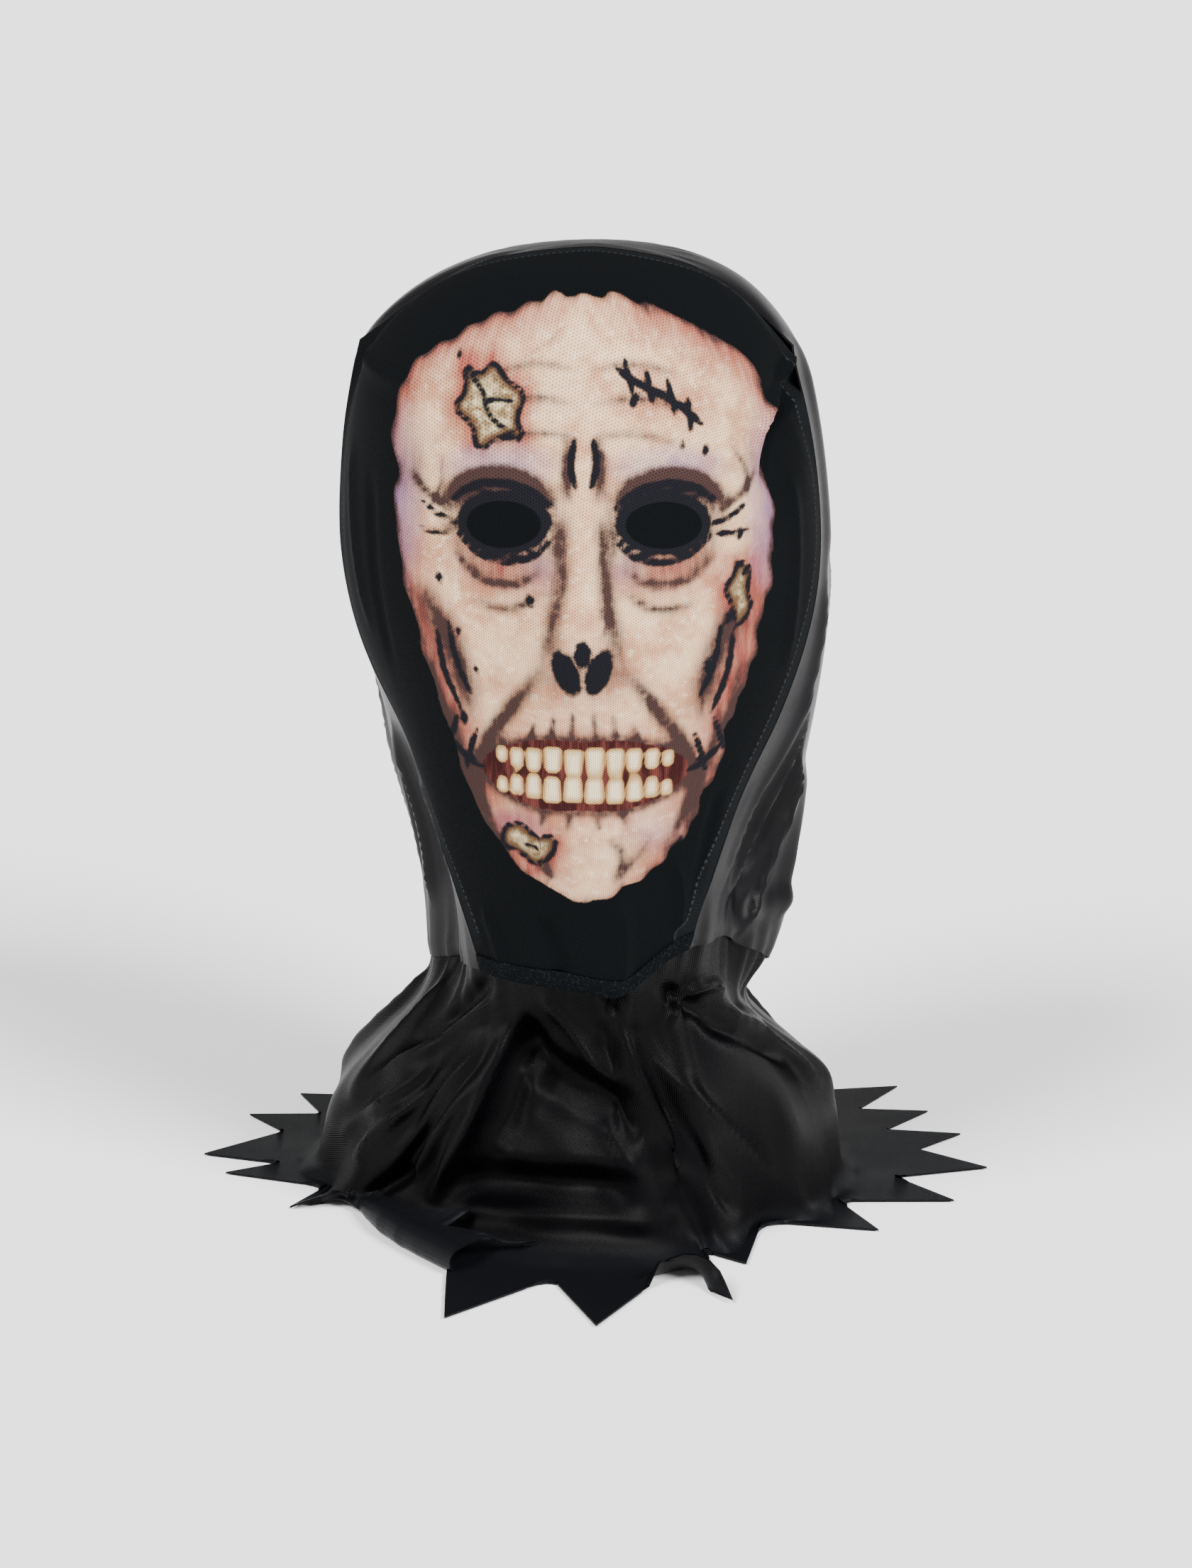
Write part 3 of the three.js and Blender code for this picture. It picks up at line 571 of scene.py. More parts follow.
def group(name, takes, gives):
    """A shader node group with named number, colour or vector sockets, and its input and output nodes."""
    tree = bpy.data.node_groups.new(name, "ShaderNodeTree")
    for socket, kind in takes:
        tree.interface.new_socket(name=socket, in_out="INPUT", socket_type=kind)
    for socket, kind in gives:
        tree.interface.new_socket(name=socket, in_out="OUTPUT", socket_type=kind)
    return tree, tree.nodes.new("NodeGroupInput"), tree.nodes.new("NodeGroupOutput")


def use(tree, made, **sockets):
    return put(tree, "ShaderNodeGroup", {"node_tree": made}, **sockets)


def fabric(name):
    """A new material, its node tree and its Principled BSDF."""
    made = bpy.data.materials.new(name)
    made.use_nodes = True
    return made, made.node_tree, made.node_tree.nodes["Principled BSDF"]


def net_mesh():
    """Hexagonal net: round holes on a triangular lattice, Pitch millimetres apart, in cloth laid flat."""
    tree, given, result = group(
        "Net mesh",
        [("Cloth", "NodeSocketVector"), ("Pitch", "NodeSocketFloat")],
        [("Hole", "NodeSocketFloat"), ("Height", "NodeSocketFloat")],
    )
    waves = calc(tree, "DIVIDE", 2000 * math.pi * 2 / math.sqrt(3), given.outputs["Pitch"])
    total = 0.0
    for x, y in ((1.0, 0.0), (0.5, math.sqrt(3) / 2), (-0.5, math.sqrt(3) / 2)):
        along = put(tree, "ShaderNodeVectorMath", {"operation": "DOT_PRODUCT"})
        tree.links.new(given.outputs["Cloth"], along.inputs[0])
        along.inputs[1].default_value = (x, y, 0)
        wave = calc(tree, "COSINE", calc(tree, "MULTIPLY", along.outputs["Value"], waves))
        total = calc(tree, "ADD", wave, total)
    tree.links.new(ramp(tree, total, 0.35, 1.9), result.inputs["Hole"])
    tree.links.new(ramp(tree, total, -1.5, 1.6, 1.0, 0.0), result.inputs["Height"])
    return tree


NET = net_mesh()
net_cloth, tree, skin = fabric("Printed net")
cloth = put(tree, "ShaderNodeUVMap", {"uv_map": panel.data.uv_layers[0].name}).outputs[0]
mesh = use(tree, NET, Cloth=cloth, Pitch=NET_PITCH)
spot = painted(tree, "print", "Vector")
mottle = put(tree, "ShaderNodeTexNoise", Vector=spot, Scale=0.045, Detail=5.0, Roughness=0.62).outputs[0]
fine = put(tree, "ShaderNodeTexNoise", Vector=spot, Scale=0.24, Detail=4.0, Roughness=0.6).outputs[0]
stretch = put(tree, "ShaderNodeMapping", Vector=spot, Scale=(1.0, 0.16, 1.0)).outputs[0]
streak = put(tree, "ShaderNodeTexNoise", Vector=stretch, Scale=0.3, Detail=4.0, Roughness=0.55).outputs[0]

# The print, dye over dye: mottled flesh, blush, bruise and shade, then bone, gums, ink and teeth.
colour = dye(tree, ramp(tree, mottle, 0.4, 0.64), (0.72, 0.48, 0.3, 1), (0.52, 0.27, 0.155, 1))
colour = dye(tree, ramp(tree, fine, 0.52, 0.7, 0, 0.6), colour, (0.86, 0.7, 0.52, 1))
colour = dye(tree, ramp(tree, fine, 0.42, 0.24, 0, 0.6), colour, (0.42, 0.22, 0.13, 1))
red = calc(tree, "MULTIPLY", painted(tree, "blush"), ramp(tree, streak, 0.25, 0.7, 0.72, 1.0))
colour = dye(tree, red, colour, (0.27, 0.05, 0.04, 1))
blue = calc(tree, "MULTIPLY", painted(tree, "bruise"), ramp(tree, mottle, 0.3, 0.6, 0.55, 0.9))
colour = dye(tree, blue, colour, (0.22, 0.16, 0.3, 1))
grain = calc(tree, "ADD", calc(tree, "MULTIPLY", fine, 0.9), calc(tree, "MULTIPLY", streak, 0.9))
brown = ramp(tree, calc(tree, "MULTIPLY", painted(tree, "shade"), grain), 0.04, 0.78)
colour = dye(tree, brown, colour, (0.045, 0.024, 0.022, 1))
boney = dye(tree, ramp(tree, fine, 0.35, 0.65), (0.17, 0.1, 0.045, 1), (0.58, 0.48, 0.28, 1))
rim = ramp(tree, painted(tree, "bone"), 1.0, 5.0)
boney = dye(tree, rim, (0.1, 0.05, 0.025, 1), boney)
colour = dye(tree, ramp(tree, painted(tree, "bone"), -0.4, 0.4), colour, boney)
jitter = calc(tree, "MULTIPLY", calc(tree, "SUBTRACT", fine, 0.5), 2.4)
gums = dye(tree, ramp(tree, streak, 0.4, 0.7), (0.03, 0.008, 0.008, 1), (0.12, 0.03, 0.025, 1))
colour = dye(tree, ramp(tree, calc(tree, "ADD", painted(tree, "mouth"), jitter), -0.6, 0.5), colour, gums)
inked = ramp(tree, calc(tree, "ADD", painted(tree, "ink"), jitter), -1.1, 0.3)
colour = dye(tree, inked, colour, (0.008, 0.008, 0.011, 1))
enamel = dye(tree, ramp(tree, painted(tree, "tooth"), 0.0, 3.2), (0.36, 0.2, 0.07, 1), (0.86, 0.74, 0.5, 1))
enamel = dye(tree, ramp(tree, streak, 0.55, 0.75, 0, 0.5), enamel, (0.55, 0.38, 0.16, 1))
colour = dye(tree, ramp(tree, painted(tree, "tooth"), -0.3, 0.35), colour, enamel)

# Round the print, and in its eyes, the net is bare black. Its holes are painted darker than its threads:
# painted shade of the dark inside seen through them.
ragged = calc(tree, "ADD", painted(tree, "flesh"), calc(tree, "MULTIPLY", jitter, 0.7))
printed = ramp(tree, ragged, -0.5, 0.5)
bare = ramp(tree, painted(tree, "eye"), -0.3, 0.3)
BLACK_NET = (0.0021, 0.0028, 0.0035, 1)
printed = calc(tree, "SUBTRACT", printed, calc(tree, "MULTIPLY", printed, bare))
colour = dye(tree, printed, BLACK_NET, colour)
# Painted shade: the holes are darkened in colour, standing in for the dark inside behind the net.
holes = calc(tree, "MULTIPLY", mesh.outputs["Hole"], 0.7)
colour = dye(tree, holes, colour, (0.3, 0.24, 0.22, 1), "MULTIPLY")

# The satin turned in behind the net shows as a ribbed band along the seam, with a topstitch near its edge.
SEAM_ALLOWANCE, TOPSTITCH, STITCH_LENGTH = 7.2, 6.4, 2.8
band = ramp(tree, painted(tree, "seam"), SEAM_ALLOWANCE, SEAM_ALLOWANCE - 1)
run = calc(tree, "MULTIPLY", painted(tree, "seam_run"), 2 * math.pi / STITCH_LENGTH)
dash = ramp(tree, calc(tree, "SINE", run), -0.3, 0.3)
line = ramp(tree, calc(tree, "ABSOLUTE", calc(tree, "SUBTRACT", painted(tree, "seam"), TOPSTITCH)), 0.75, 0.3)
stitch = calc(tree, "MULTIPLY", dash, line)
ribs = ramp(tree, calc(tree, "SINE", calc(tree, "MULTIPLY", run, 1.9)), -1.0, 1.0, 0.5, 1.0)
ribbed = calc(tree, "MULTIPLY", calc(tree, "MULTIPLY", band, ribs), 0.8)
colour = dye(tree, ribbed, colour, (0.0066, 0.0075, 0.0084, 1))
colour = dye(tree, calc(tree, "MULTIPLY", stitch, 0.7), colour, (0.028, 0.032, 0.034, 1))
tree.links.new(colour, skin.inputs["Base Color"])
skin.inputs["Roughness"].default_value = 0.82
skin.inputs["Specular IOR Level"].default_value = 0.05
raised = calc(tree, "MULTIPLY", calc(tree, "ADD", band, stitch), 1.2)
relief = calc(tree, "ADD", mesh.outputs["Height"], raised)
bump = put(tree, "ShaderNodeBump", Strength=0.6, Distance=0.0003, Height=relief)
tree.links.new(bump.outputs[0], skin.inputs["Normal"])
panel.data.materials.append(net_cloth)
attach(panel, "root")
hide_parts("face_panel")

# Chin hem: the net's lower edge, turned under once and sewn with a zigzag stitch. It is a band of doubled
# net about 9 mm deep that hangs free over the shoulder cape.
hem = bpy.data.objects.new("chin_hem_band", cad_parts["chin_hem"].data.copy())
bpy.context.scene.collection.objects.link(hem)
pick(hem)
bpy.ops.object.mode_set(mode="EDIT")
bpy.ops.mesh.select_all(action="SELECT")
bpy.ops.mesh.remove_doubles(threshold=2e-5)
bpy.ops.mesh.tris_convert_to_quads(face_threshold=math.pi, shape_threshold=math.pi)
bpy.ops.object.mode_set(mode="OBJECT")
hem.data.materials.clear()
edge_softening = hem.modifiers.new("Soft edge", "BEVEL")
edge_softening.width = 0.0007
edge_softening.segments = 2
bpy.ops.object.modifier_apply(modifier=edge_softening.name)
bpy.ops.object.shade_smooth_by_angle(angle=math.radians(60))
hem_cloth, tree, skin = fabric("Black net hem")
place = put(tree, "ShaderNodeTexCoord").outputs["Object"]
upright = put(tree, "ShaderNodeMapping", Vector=place, Rotation=(math.pi / 2, 0, 0)).outputs[0]
mesh = use(tree, NET, Cloth=upright, Pitch=NET_PITCH)
thread = put(tree, "ShaderNodeTexNoise", Vector=place, Scale=900.0, Detail=2.0).outputs[0]
colour = dye(tree, ramp(tree, thread, 0.5, 0.72), BLACK_NET, (0.0085, 0.0105, 0.012, 1))
# The net's holes are painted darker than its threads: painted shade of what lies behind them.
colour = dye(tree, calc(tree, "MULTIPLY", mesh.outputs["Hole"], 0.6), colour, (0.3, 0.3, 0.3, 1), "MULTIPLY")
tree.links.new(colour, skin.inputs["Base Color"])
skin.inputs["Roughness"].default_value = 0.85
skin.inputs["Specular IOR Level"].default_value = 0.04
bump = put(tree, "ShaderNodeBump", Strength=0.6, Distance=0.0005, Height=thread)
tree.links.new(bump.outputs[0], skin.inputs["Normal"])
hem.data.materials.append(hem_cloth)
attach(hem, "root")
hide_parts("chin_hem")

# Hood: a cowl of black satin knit, cut in one piece over the crown, the ears and the nape and eased onto
# the panel, so that it hangs in folds beside the jaw. Its lower edge is sewn to the cape.
SATIN_WALL = 0.0014
SATIN_CLOTH = 0.0009
SATIN_PITCH = 0.9
hood = sheet_of("hood", SATIN_WALL, "hood_satin")
lay_flat(hood, (0, 0.1, -0.3), (0, 0.05, -0.02))
refine(hood, 3)
even_out(hood, 40)
HOOD_FOLDS = [
    ([(87, -33), (88, -69), (90, -116), (81, -156)], 10, 2.5, 0),
    ([(84, -132), (78, -169), (73, -196), (68, -222), (62, -247), (52, -268), (42, -298)], 8, 3.5, 0.6),
    ([(72, -195), (74, -222), (71, -248), (64, -275), (50, -300)], 7, 4.5, 1),
    ([(78, -229), (81, -252), (75, -275), (69, -302), (60, -322)], 7, 5.0, 1),
    ([(92, -236), (87, -265), (82, -292), (78, -325)], 9, 3.0, 0.6),
    ([(75, -212), (77, -240), (70, -270), (60, -298)], 6, -4.0, 0),
    ([(56, -316), (72, -306), (90, -310)], 11, 3.0, 0),
    ([(104, -120), (106, -190), (101, -250), (96, -320)], 11, 4.0, 0.5),
    ([(118, -160), (122, -220), (116, -280), (112, -338)], 10, 5.0, 0.8),
    ([(136, -130), (140, -200), (134, -270), (131, -338)], 11, 5.0, 0.5),
    ([(152, -170), (156, -240), (152, -290), (155, -340)], 9, 5.0, 1),
    ([(171, -120), (174, -200), (170, -270), (172, -340)], 11, 4.5, 0.5),
    ([(-167, -160), (-170, -230), (-164, -290), (-166, -340)], 9, 5.0, 0.8),
    ([(-150, -120), (-147, -200), (-152, -270), (-148, -338)], 11, 4.5, 0.5),
    ([(-132, -170), (-127, -240), (-133, -290), (-130, -338)], 9, 5.0, 1),
    ([(-112, -130), (-108, -200), (-113, -270), (-110, -335)], 11, 4.5, 0.5),
    ([(-94, -180), (-92, -240), (-96, -285), (-95, -330)], 8, 4.5, 0.8),
    ([(-74, -218), (-74, -250), (-74, -281), (-77, -320)], 7, 4.5, 0.8),
    ([(-64, -240), (-60, -268), (-56, -305)], 6, 3.5, 0.8),
    ([(-84, -228), (-82, -262), (-85, -310)], 6, -3.5, 0),
    ([(158, -22), (138, -38), (118, -66), (108, -104)], 13, 1.5, 0.3),
    ([(-150, -20), (-128, -40), (-112, -72)], 12, 1.4, 0.3),
    ([(178, -44), (168, -80), (172, -122), (166, -160)], 14, 1.6, 0),
    ([(-168, -56), (-156, -94), (-146, -138)], 12, 1.6, 0.2),
    ([(132, -70), (126, -108), (129, -150)], 12, -2.2, 0),
    ([(-126, -86), (-120, -120), (-124, -160)], 11, -2.0, 0),
]
lay_folds(hood, HOOD_FOLDS, radius=100)

# The neck seam's height at each turn. At the front the hood has no lower edge, so it runs straight across.
turn, height = turn_and_fall(points_of(hood))
NECK_TURNS = np.arange(-180, 181, 4)
NECK_HEIGHTS = np.array(
    [height[np.abs((turn - at + 180) % 360 - 180) < 5].min(initial=0) for at in NECK_TURNS]
)
FRONT = np.abs(NECK_TURNS) < 40
NECK_HEIGHTS[FRONT] = np.interp(NECK_TURNS[FRONT], NECK_TURNS[~FRONT], NECK_HEIGHTS[~FRONT])


def gather_neck(piece):
    """Draws the cloth in at the neck seam: small gathers along it, and a hollow below one ear. Returns each
    point's height above the seam, in millimetres."""
    places = points_of(piece)
    turn, height = turn_and_fall(places)
    above = height - np.interp(turn, NECK_TURNS, NECK_HEIGHTS)
    angle = np.radians(turn)
    ripple = np.sin(27 * angle + 0.6) + 0.8 * np.sin(43 * angle + 2.1) + 0.6 * np.sin(61 * angle + 4.0)
    out = 0.75 * ripple * np.exp(-np.abs(above) / 22)
    hollow = np.clip(1 - np.abs(turn - 92) / 48, 0, 1) * np.clip(1 - np.abs(height + 356) / 42, 0, 1)
    out -= 9 * hollow * hollow * (3 - 2 * hollow)
    around = places * np.array([1, 1, 0])
    around /= np.linalg.norm(around, axis=1)[:, None] + 1e-6
    move_points(piece, places + around * out[:, None] / 1000)
    return above


# The hood's lowest 9 mm lie 1.5 mm further in, inside the cape.
above = gather_neck(hood)
places = points_of(hood)
tuck = 0.0015 * np.clip(1 - above / 9, 0, 1) ** 1.5
places[:, :2] *= (1 - tuck / np.maximum(np.linalg.norm(places[:, :2], axis=1), 0.001))[:, None]
move_points(hood, places)
thicken(hood, SATIN_CLOTH)


def satin_knit():
    """Satin face of a warp knit: fine slanting ribs, Pitch millimetres apart, in cloth laid flat."""
    tree, given, result = group(
        "Satin knit",
        [("Cloth", "NodeSocketVector"), ("Pitch", "NodeSocketFloat"), ("Colour", "NodeSocketColor")],
        [("Colour", "NodeSocketColor"), ("Roughness", "NodeSocketFloat"), ("Height", "NodeSocketFloat")],
    )
    waves = calc(tree, "DIVIDE", 2000 * math.pi, given.outputs["Pitch"])
    ribs = []
    for x, y in ((0.78, 0.62), (-0.62, 0.78)):
        along = put(tree, "ShaderNodeVectorMath", {"operation": "DOT_PRODUCT"})
        tree.links.new(given.outputs["Cloth"], along.inputs[0])
        along.inputs[1].default_value = (x, y, 0)
        ribs.append(calc(tree, "SINE", calc(tree, "MULTIPLY", along.outputs["Value"], waves)))
    weave = calc(tree, "ADD", ribs[0], calc(tree, "MULTIPLY", ribs[1], 0.35))
    cloud = put(tree, "ShaderNodeTexNoise", Vector=given.outputs["Cloth"], Scale=14.0, Detail=4.0).outputs[0]
    tone = dye(tree, ramp(tree, cloud, 0.3, 0.7), (0.82, 0.82, 0.82, 1), (1.18, 1.16, 1.2, 1))
    colour = dye(tree, 1.0, given.outputs["Colour"], tone, "MULTIPLY")
    # The grooves between the ribs are painted darker: painted shade.
    colour = dye(tree, ramp(tree, weave, 0.2, -1.2, 0, 0.3), colour, (0.55, 0.55, 0.55, 1), "MULTIPLY")
    tree.links.new(colour, result.inputs["Colour"])
    tree.links.new(ramp(tree, cloud, 0.3, 0.7, 0.3, 0.38), result.inputs["Roughness"])
    tree.links.new(weave, result.inputs["Height"])
    return tree


SATIN = satin_knit()


def satin(name, colour, piece, gloss, relief):
    """A satin for one piece. Where the cloth lies on the table its colour is painted lighter: painted light on
    the flat cloth.
    """
    made, tree, skin = fabric(name)
    cloth = put(tree, "ShaderNodeUVMap", {"uv_map": piece.data.uv_layers[0].name}).outputs[0]
    knit = use(tree, SATIN, Cloth=cloth, Pitch=SATIN_PITCH, Colour=colour)
    # Where the cloth lies on the table, or has folded over, the colour turns a lighter black: painted light.
    lit_where_lying = dye(tree, painted(tree, "lying"), knit.outputs["Colour"], (0.0040, 0.0043, 0.0053, 1))
    tree.links.new(lit_where_lying, skin.inputs["Base Color"])
    tree.links.new(knit.outputs["Roughness"], skin.inputs["Roughness"])
    skin.inputs["Specular IOR Level"].default_value = gloss
    bump = put(tree, "ShaderNodeBump", Strength=relief, Distance=0.0002, Height=knit.outputs["Height"])
    tree.links.new(bump.outputs[0], skin.inputs["Normal"])
    piece.data.materials.append(made)


satin("Hood satin", (0.0032, 0.0027, 0.0035, 1), hood, 0.11, 0.25)
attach(hood, "root")
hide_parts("hood")

# Cape: a short collar of the same satin, gathered onto the hood's lower edge and flared over the shoulders.
# Its free edge is cut in long points that lie on the table. Seen from the front, one stretch at the left has
# folded back over the rest, and one point at the right has twisted.
cape = sheet_of("cape", SATIN_WALL, "cape_satin")
cape.data.uv_layers.new(name="cloth")
TABLE = cad_box[0].z

# The turned-up part of that stretch is cut away and made anew below, with its points. Long falling edges are
# split, so that the folds can bend them.
FRONT_LEFT = Vector((-0.7071, -0.7071, 0))
TURNED_HEIGHT, TURNED_FROM, TURNED_WIDTH = 0.0165, 0.085, 0.083
LONG_FALL = 0.0085
coarse = bmesh.new()
coarse.from_mesh(cape.data)
turned_up = [
    face
    for face in coarse.faces
    if (at := face.calc_center_median()).z < TABLE + TURNED_HEIGHT
    and at.dot(FRONT_LEFT) > TURNED_FROM
    and abs(at.x - at.y) < TURNED_WIDTH
    and (face.normal.z < -0.05 or face.normal.dot(FRONT_LEFT) < -0.15)
]
bmesh.ops.delete(coarse, geom=turned_up, context="FACES")
falling = [
    edge
    for edge in coarse.edges
    if abs(edge.verts[0].co.z - edge.verts[1].co.z) > LONG_FALL and not edge.is_boundary
]
bmesh.ops.subdivide_edges(coarse, edges=falling, cuts=1, use_grid_fill=True)
coarse.to_mesh(cape.data)
coarse.free()
refine(cape, 2)
even_out(cape, 12, lowest=TABLE + 0.013)
CAPE_FOLDS = [
    ([(-64, -343), (-67, -365), (-70, -391), (-73, -418)], 8, 3.5, 0.5),
    ([(-21, -334), (-52, -371), (-67, -397), (-73, -415)], 8, 4.5, 0.8),
    ([(-27, -330), (-41, -349), (-50, -364), (-65, -380)], 8, -5.0, 0),
    ([(-47, -379), (-56, -399), (-70, -418), (-75, -436)], 5, 3.5, 1),
    ([(-43, -378), (-54, -400), (-64, -419), (-70, -436)], 5, -2.5, 0),
    ([(-38, -372), (-52, -401), (-59, -419), (-65, -440)], 5.5, 4.0, 1),
    ([(-28, -360), (-44, -398), (-53, -422), (-58, -442)], 6, 5.0, 1),
    ([(-26, -362), (-39, -395), (-50, -422), (-55, -442)], 5, -3.0, 0),
    ([(-24, -358), (-34, -392), (-48, -426), (-54, -445)], 6, 5.5, 1),
    ([(-22, -356), (-31, -388), (-40, -416), (-48, -442)], 5.5, -3.0, 0),
    ([(-19, -344), (-28, -379), (-33, -406), (-45, -449)], 7, 9.0, 1),
    ([(-15, -352), (-19, -380), (-24, -405), (-32, -430)], 12, -4.0, 0),
    ([(-50, -432), (-56, -443), (-60, -453)], 5, -6.0, 0),
    ([(-21, -347), (-12, -370), (-1, -378), (9, -384), (20, -394)], 15, -12.0, 0),
    ([(-12, -332), (-4, -346), (7, -369), (15, -384)], 8, 5.0, 0.8),
    ([(-16, -384), (-4, -392), (8, -398), (18, -404)], 17, -4.5, 0),
    ([(7, -391), (12, -405), (18, -420)], 6, 4.0, 1),
    ([(-34, -408), (-18, -416), (-8, -416), (3, -415), (16, -413)], 12, 2.0, 0),
    ([(-44, -438), (-30, -431), (-17, -427), (-7, -425), (6, -424), (19, -427)], 14, -7.0, 0),
    ([(-44, -446), (-26, -442), (-9, -439), (7, -439), (18, -440), (32, -439)], 8, 3.0, 0.4),
    ([(7, -343), (10, -364), (11, -378), (15, -394), (18, -410)], 8, -3.0, 0),
    ([(12, -341), (16, -361), (18, -376), (23, -389), (28, -403), (29, -418), (26, -430)], 10, 8.5, 0.3),
    ([(7, -330), (12, -335), (10, -343)], 6, -8.0, 0),
    ([(20, -374), (28, -395), (34, -417), (40, -431), (47, -450)], 8, -5.0, 0),
    ([(14, -343), (25, -370), (33, -383), (43, -405), (57, -427), (62, -449)], 6, 3.4, 1),
    ([(26, -364), (38, -390), (51, -415), (58, -432)], 5, 2.2, 1),
    ([(24, -330), (33, -340), (45, -352), (62, -364)], 7, -6.0, 0),
    ([(28, -354), (33, -342), (38, -335), (48, -337), (57, -348)], 6, 6.5, 0.8),
    ([(46, -345), (58, -358), (72, -371), (82, -390), (88, -410)], 8, 6.5, 0.8),
    ([(38, -352), (51, -361), (66, -374), (76, -388)], 6, -5.0, 0),
    ([(64, -352), (82, -376), (90, -397), (94, -421)], 12, 4.5, 0.4),
    ([(-88, -350), (-94, -380), (-98, -425)], 10, 4.5, 0.6),
    ([(-104, -345), (-112, -378), (-113, -430)], 9, 5.5, 0.8),
    ([(-123, -345), (-127, -385), (-132, -436)], 10, 5.0, 0.6),
    ([(-140, -342), (-146, -380), (-145, -432)], 9, 6.0, 1),
    ([(-160, -345), (-163, -385), (-168, -438)], 10, 5.0, 0.6),
    ([(174, -342), (172, -380), (174, -434)], 10, 5.5, 0.8),
    ([(156, -346), (152, -382), (150, -436)], 9, 5.0, 1),
    ([(138, -343), (135, -380), (130, -430)], 10, 5.5, 0.6),
    ([(120, -345), (114, -382), (112, -436)], 9, 5.0, 0.8),
]
lay_folds(cape, CAPE_FOLDS, radius=110, lowest=TABLE + SATIN_WALL)
even_out(cape, 3, lowest=TABLE + 0.004)
gather_neck(cape)

# The cape's flat pattern, which the knit follows: a ring round the neck.
NECK_RADIUS = 0.085
places = points_of(cape)
turn, height = turn_and_fall(places)
spread = NECK_RADIUS - 0.00085 * (height + 335) + 0.75 * (np.linalg.norm(places[:, :2], axis=1) - NECK_RADIUS)
cut = np.column_stack([spread * np.sin(np.radians(turn)), -spread * np.cos(np.radians(turn))])
corner = np.zeros(len(cape.data.loops), int)
cape.data.loops.foreach_get("vertex_index", corner)
cape.data.uv_layers[0].data.foreach_set("uv", cut[corner].ravel())

# The twisted point is turned about its own middle line, more and more towards its tip.
TWIST_START, TWIST_END = np.array([0.050, -0.112]), np.array([0.078, -0.146])
TWIST = math.radians(120)
TWIST_LIFT = 0.011
places = points_of(cape)
length = np.linalg.norm(TWIST_END - TWIST_START)
ahead = (TWIST_END - TWIST_START) / length
sideways = np.array([ahead[1], -ahead[0]])
along = (places[:, :2] - TWIST_START) @ ahead / length
aside = (places[:, :2] - TWIST_START) @ sideways
twisted = (along > 0) & (np.abs(aside) < 0.02) & (places[:, 2] < TABLE + 0.004) & (places[:, 1] < -0.11)
turned = TWIST * np.clip(along / 0.7, 0, 1) ** 1.3 * twisted
places[:, :2] -= (aside * (1 - np.cos(turned)))[:, None] * sideways
places[:, 2] += np.maximum((aside + TWIST_LIFT * np.clip(1 - along, 0, 1)) * np.sin(turned), 0)
move_points(cape, places)
# How near each point lies to the table: there the satin is painted lighter, as painted light.
mark(cape, np.clip(1 - (places[:, 2] - TABLE - 0.003) / 0.006, 0, 1), "lying")

# The stretch that has folded over, in rows across it: from the table round a half turn, then back over the
# cape to two cut points. Each row is where the turn starts on the table, its radius, and the cloth from the
# top of the turn to the cut edge, all in millimetres.
FOLDED = [
    ((-108, -58), 2.2, [(-105, -55, 4.4)]),
    ((-101, -69.5), 4.0, [(-99, -66, 8.2), (-93, -66, 9)]),
    ((-91, -85), 5.2, [(-87, -81, 10.6), (-80.7, -83.5, 10.5)]),
    ((-86, -90.5), 5.4, [(-80, -84, 10.6), (-72, -83.5, 9.5)]),
    ((-80, -98), 5.5, [(-73, -90, 10), (-66, -86, 11), (-61, -87, 15)]),
    ((-76, -101.5), 5.5, [(-68, -93, 9.5), (-60, -91, 11), (-54, -91, 16.5), (-50, -92, 16)]),
    ((-69.5, -108), 5.6, [(-64, -101, 11), (-60, -99, 10.5)]),
    ((-59, -117.5), 5.7, [(-52, -112, 11.8), (-41, -109, 12.4)]),
    ((-53, -123), 5.7, [(-48, -116, 11.8), (-40, -111, 12.2), (-29, -109, 8.5)]),
    ((-49.5, -126), 5.8, [(-46, -118, 11.6), (-38, -111.5, 11.5), (-30, -111, 8), (-17, -108, 8.5)]),
]
TUCKED_UNDER = 3
ABOVE_TABLE = 0.4
TURN_POINTS, TAIL_STEPS, STEPS_BETWEEN_ROWS = 9, 12, 6
outwards = np.array([-0.748, -0.663])
rows = []
for start, bend, lies in FOLDED:
    start = np.array(start)
    line = [np.append(start - TUCKED_UNDER * outwards, ABOVE_TABLE)]
    for angle in np.linspace(0, math.pi, TURN_POINTS):
        rise = ABOVE_TABLE + bend * (1 - math.cos(angle))
        line.append(np.append(start + outwards * bend * math.sin(angle), rise))
    tail = rounded(np.vstack([line[-1:], lies]))
    walked = np.concatenate([[0], np.cumsum(np.linalg.norm(np.diff(tail, axis=0), axis=1))])
    even = np.linspace(0, walked[-1], TAIL_STEPS + 1)[1:]
    rows.append(np.vstack([line, np.stack([np.interp(even, walked, tail[:, i]) for i in range(3)], 1)]))
rows = np.array(rows)
steps = np.linspace(0, len(rows) - 1, STEPS_BETWEEN_ROWS * (len(rows) - 1) + 1)
low = np.minimum(steps.astype(int), len(rows) - 2)
share = (steps - low)[:, None, None]
grid = (rows[low] * (1 - share) + rows[low + 1] * share) / 1000 + np.array([0, 0, TABLE])
across = grid.shape[1]
corners = [
    (i * across + j, i * across + j + 1, (i + 1) * across + j + 1, (i + 1) * across + j)
    for i in range(len(grid) - 1)
    for j in range(across - 1)
]
places = grid.reshape(-1, 3)
cut = places[np.ravel(corners)]
made = bpy.data.meshes.new("folded_points")
made.from_pydata(places.tolist(), [], corners)
made.uv_layers.new(name="cloth")
made.uv_layers[0].data.foreach_set("uv", (cut[:, :2] + cut[:, 2:]).ravel())
folded = bpy.data.objects.new("folded_points", made)
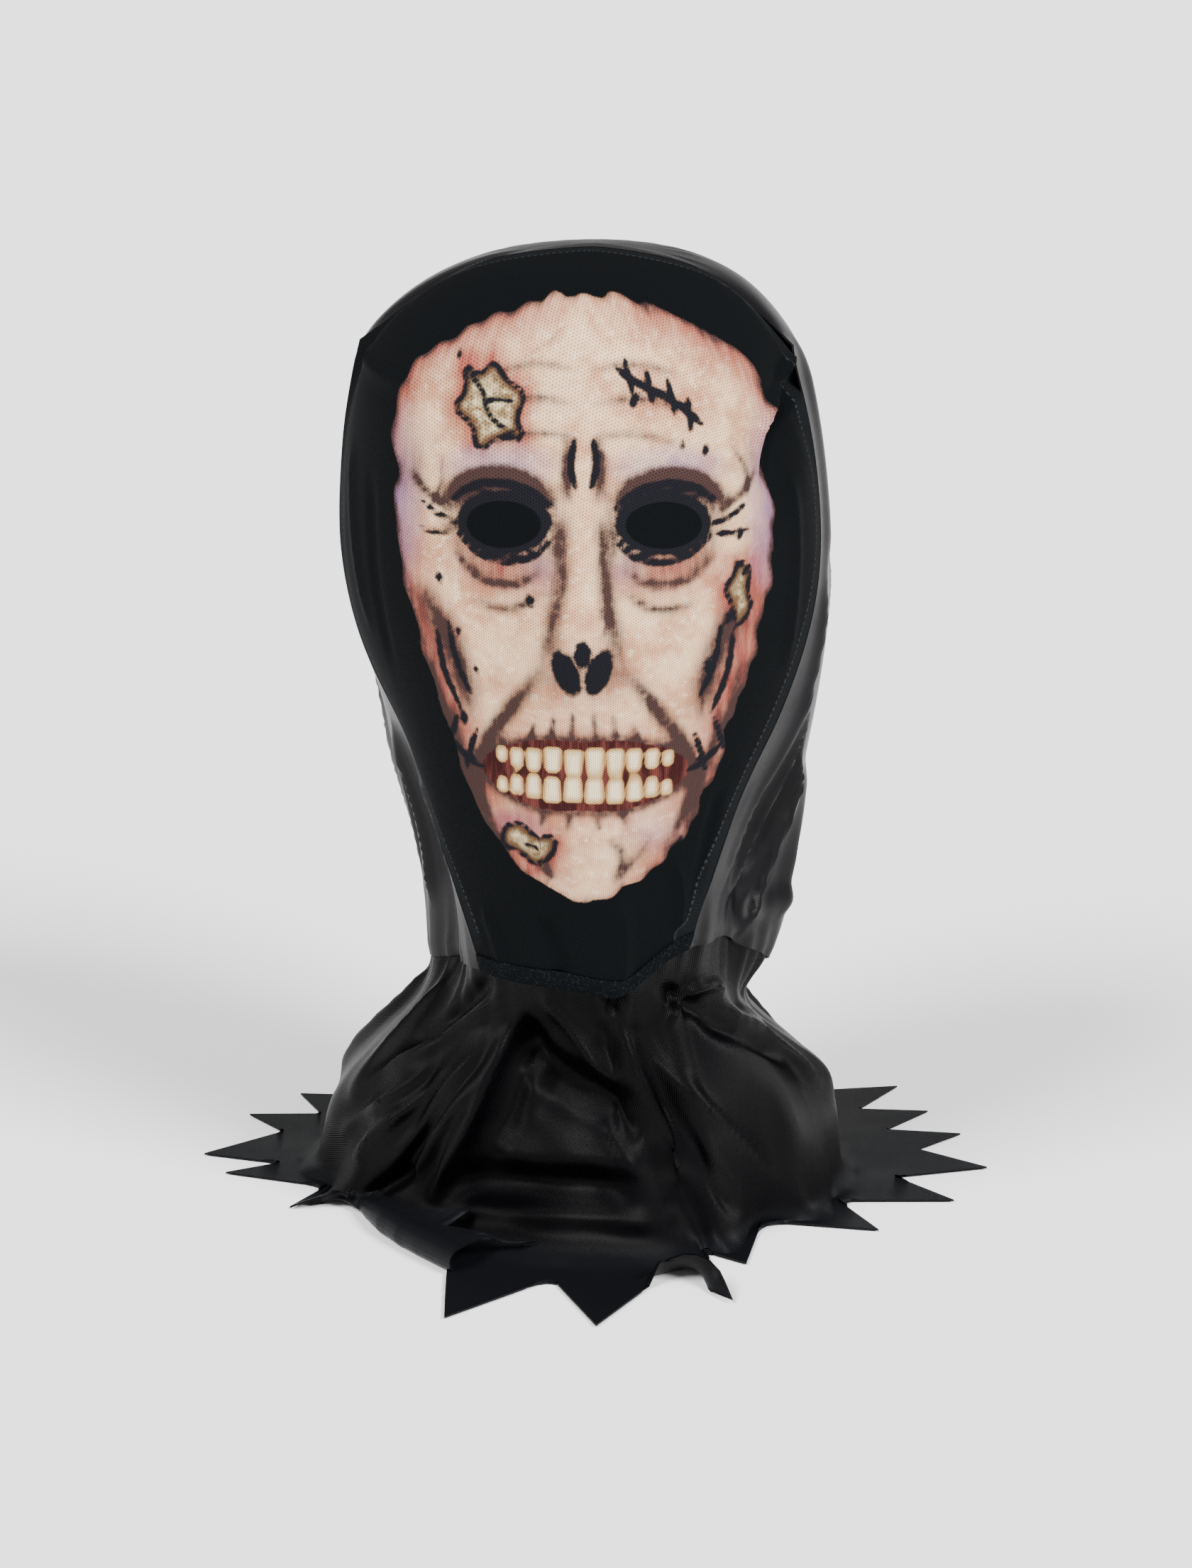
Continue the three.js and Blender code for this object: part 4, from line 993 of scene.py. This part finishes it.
# The whole folded-over stretch counts as lying, so its satin is painted lighter too: painted light.
mark(folded, np.ones(len(places)), "lying")
bpy.context.scene.collection.objects.link(folded)
pick(cape)
folded.select_set(True)
bpy.ops.object.join()
thicken(cape, SATIN_CLOTH)
# The cape's satin is given a darker colour than the hood's, though it is the same cloth: painted shade.
satin("Cape satin", (0.0009, 0.0008, 0.0012, 1), cape, 0.058, 0.4)
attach(cape, "root")
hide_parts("cape")

# Studio: a white table that runs to the horizon, a sky that is brightest just above it and makes the white
# backdrop, a soft light from each side, and the camera.
bpy.ops.object.select_all(action="DESELECT")
bpy.ops.mesh.primitive_plane_add(size=120, location=(0, 0, TABLE - 0.0002))
table = bpy.context.object
table.name = "studio_table"
bpy.ops.object.transform_apply(location=True, rotation=True, scale=True)
paint, tree, skin = fabric("Table white")
skin.inputs["Base Color"].default_value = (0.98, 0.98, 0.98, 1)
skin.inputs["Roughness"].default_value = 0.9
skin.inputs["Specular IOR Level"].default_value = 0.1
table.data.materials.append(paint)

world = bpy.data.worlds.new("Studio")
world.use_nodes = True
sky = world.node_tree
direction = put(sky, "ShaderNodeTexCoord").outputs["Generated"]
rise = put(sky, "ShaderNodeSeparateXYZ", Vector=direction).outputs["Z"]
backdrop = sky.nodes["Background"]
backdrop.inputs["Color"].default_value = (1, 1, 1, 1)
sky.links.new(ramp(sky, rise, 0.03, 0.13, 2.0, 0.36), backdrop.inputs["Strength"])
bpy.context.scene.world = world

for name, place, spread, power in (
    ("softbox_left", (-0.9, -0.85, 1.3), 24, 4.6),
    ("softbox_right", (1.15, -0.75, 1.1), 24, 6.1),
):
    lamp = bpy.data.lights.new(name, "SUN")
    lamp.angle = math.radians(spread)
    lamp.energy = power
    light = bpy.data.objects.new(name, lamp)
    bpy.context.scene.collection.objects.link(light)
    light.rotation_mode = "QUATERNION"
    light.rotation_quaternion = (-Vector(place)).to_track_quat("-Z", "Y")

AIM = Vector((0, 0, -0.258))
FOCAL_LENGTH = 4850 / 2210  # in picture heights
turned, raised, away = math.radians(6), math.radians(17), 1.65
back = Vector((math.sin(turned) * math.cos(raised), -math.cos(turned) * math.cos(raised), math.sin(raised)))
lens = bpy.data.cameras.new("camera")
lens.sensor_fit = "VERTICAL"
lens.sensor_height = 36
lens.lens = FOCAL_LENGTH * lens.sensor_height
camera = bpy.data.objects.new("camera", lens)
bpy.context.scene.collection.objects.link(camera)
camera.location = AIM + back * away
camera.rotation_mode = "QUATERNION"
camera.rotation_quaternion = (-back).to_track_quat("-Z", "Y")
bpy.context.scene.camera = camera
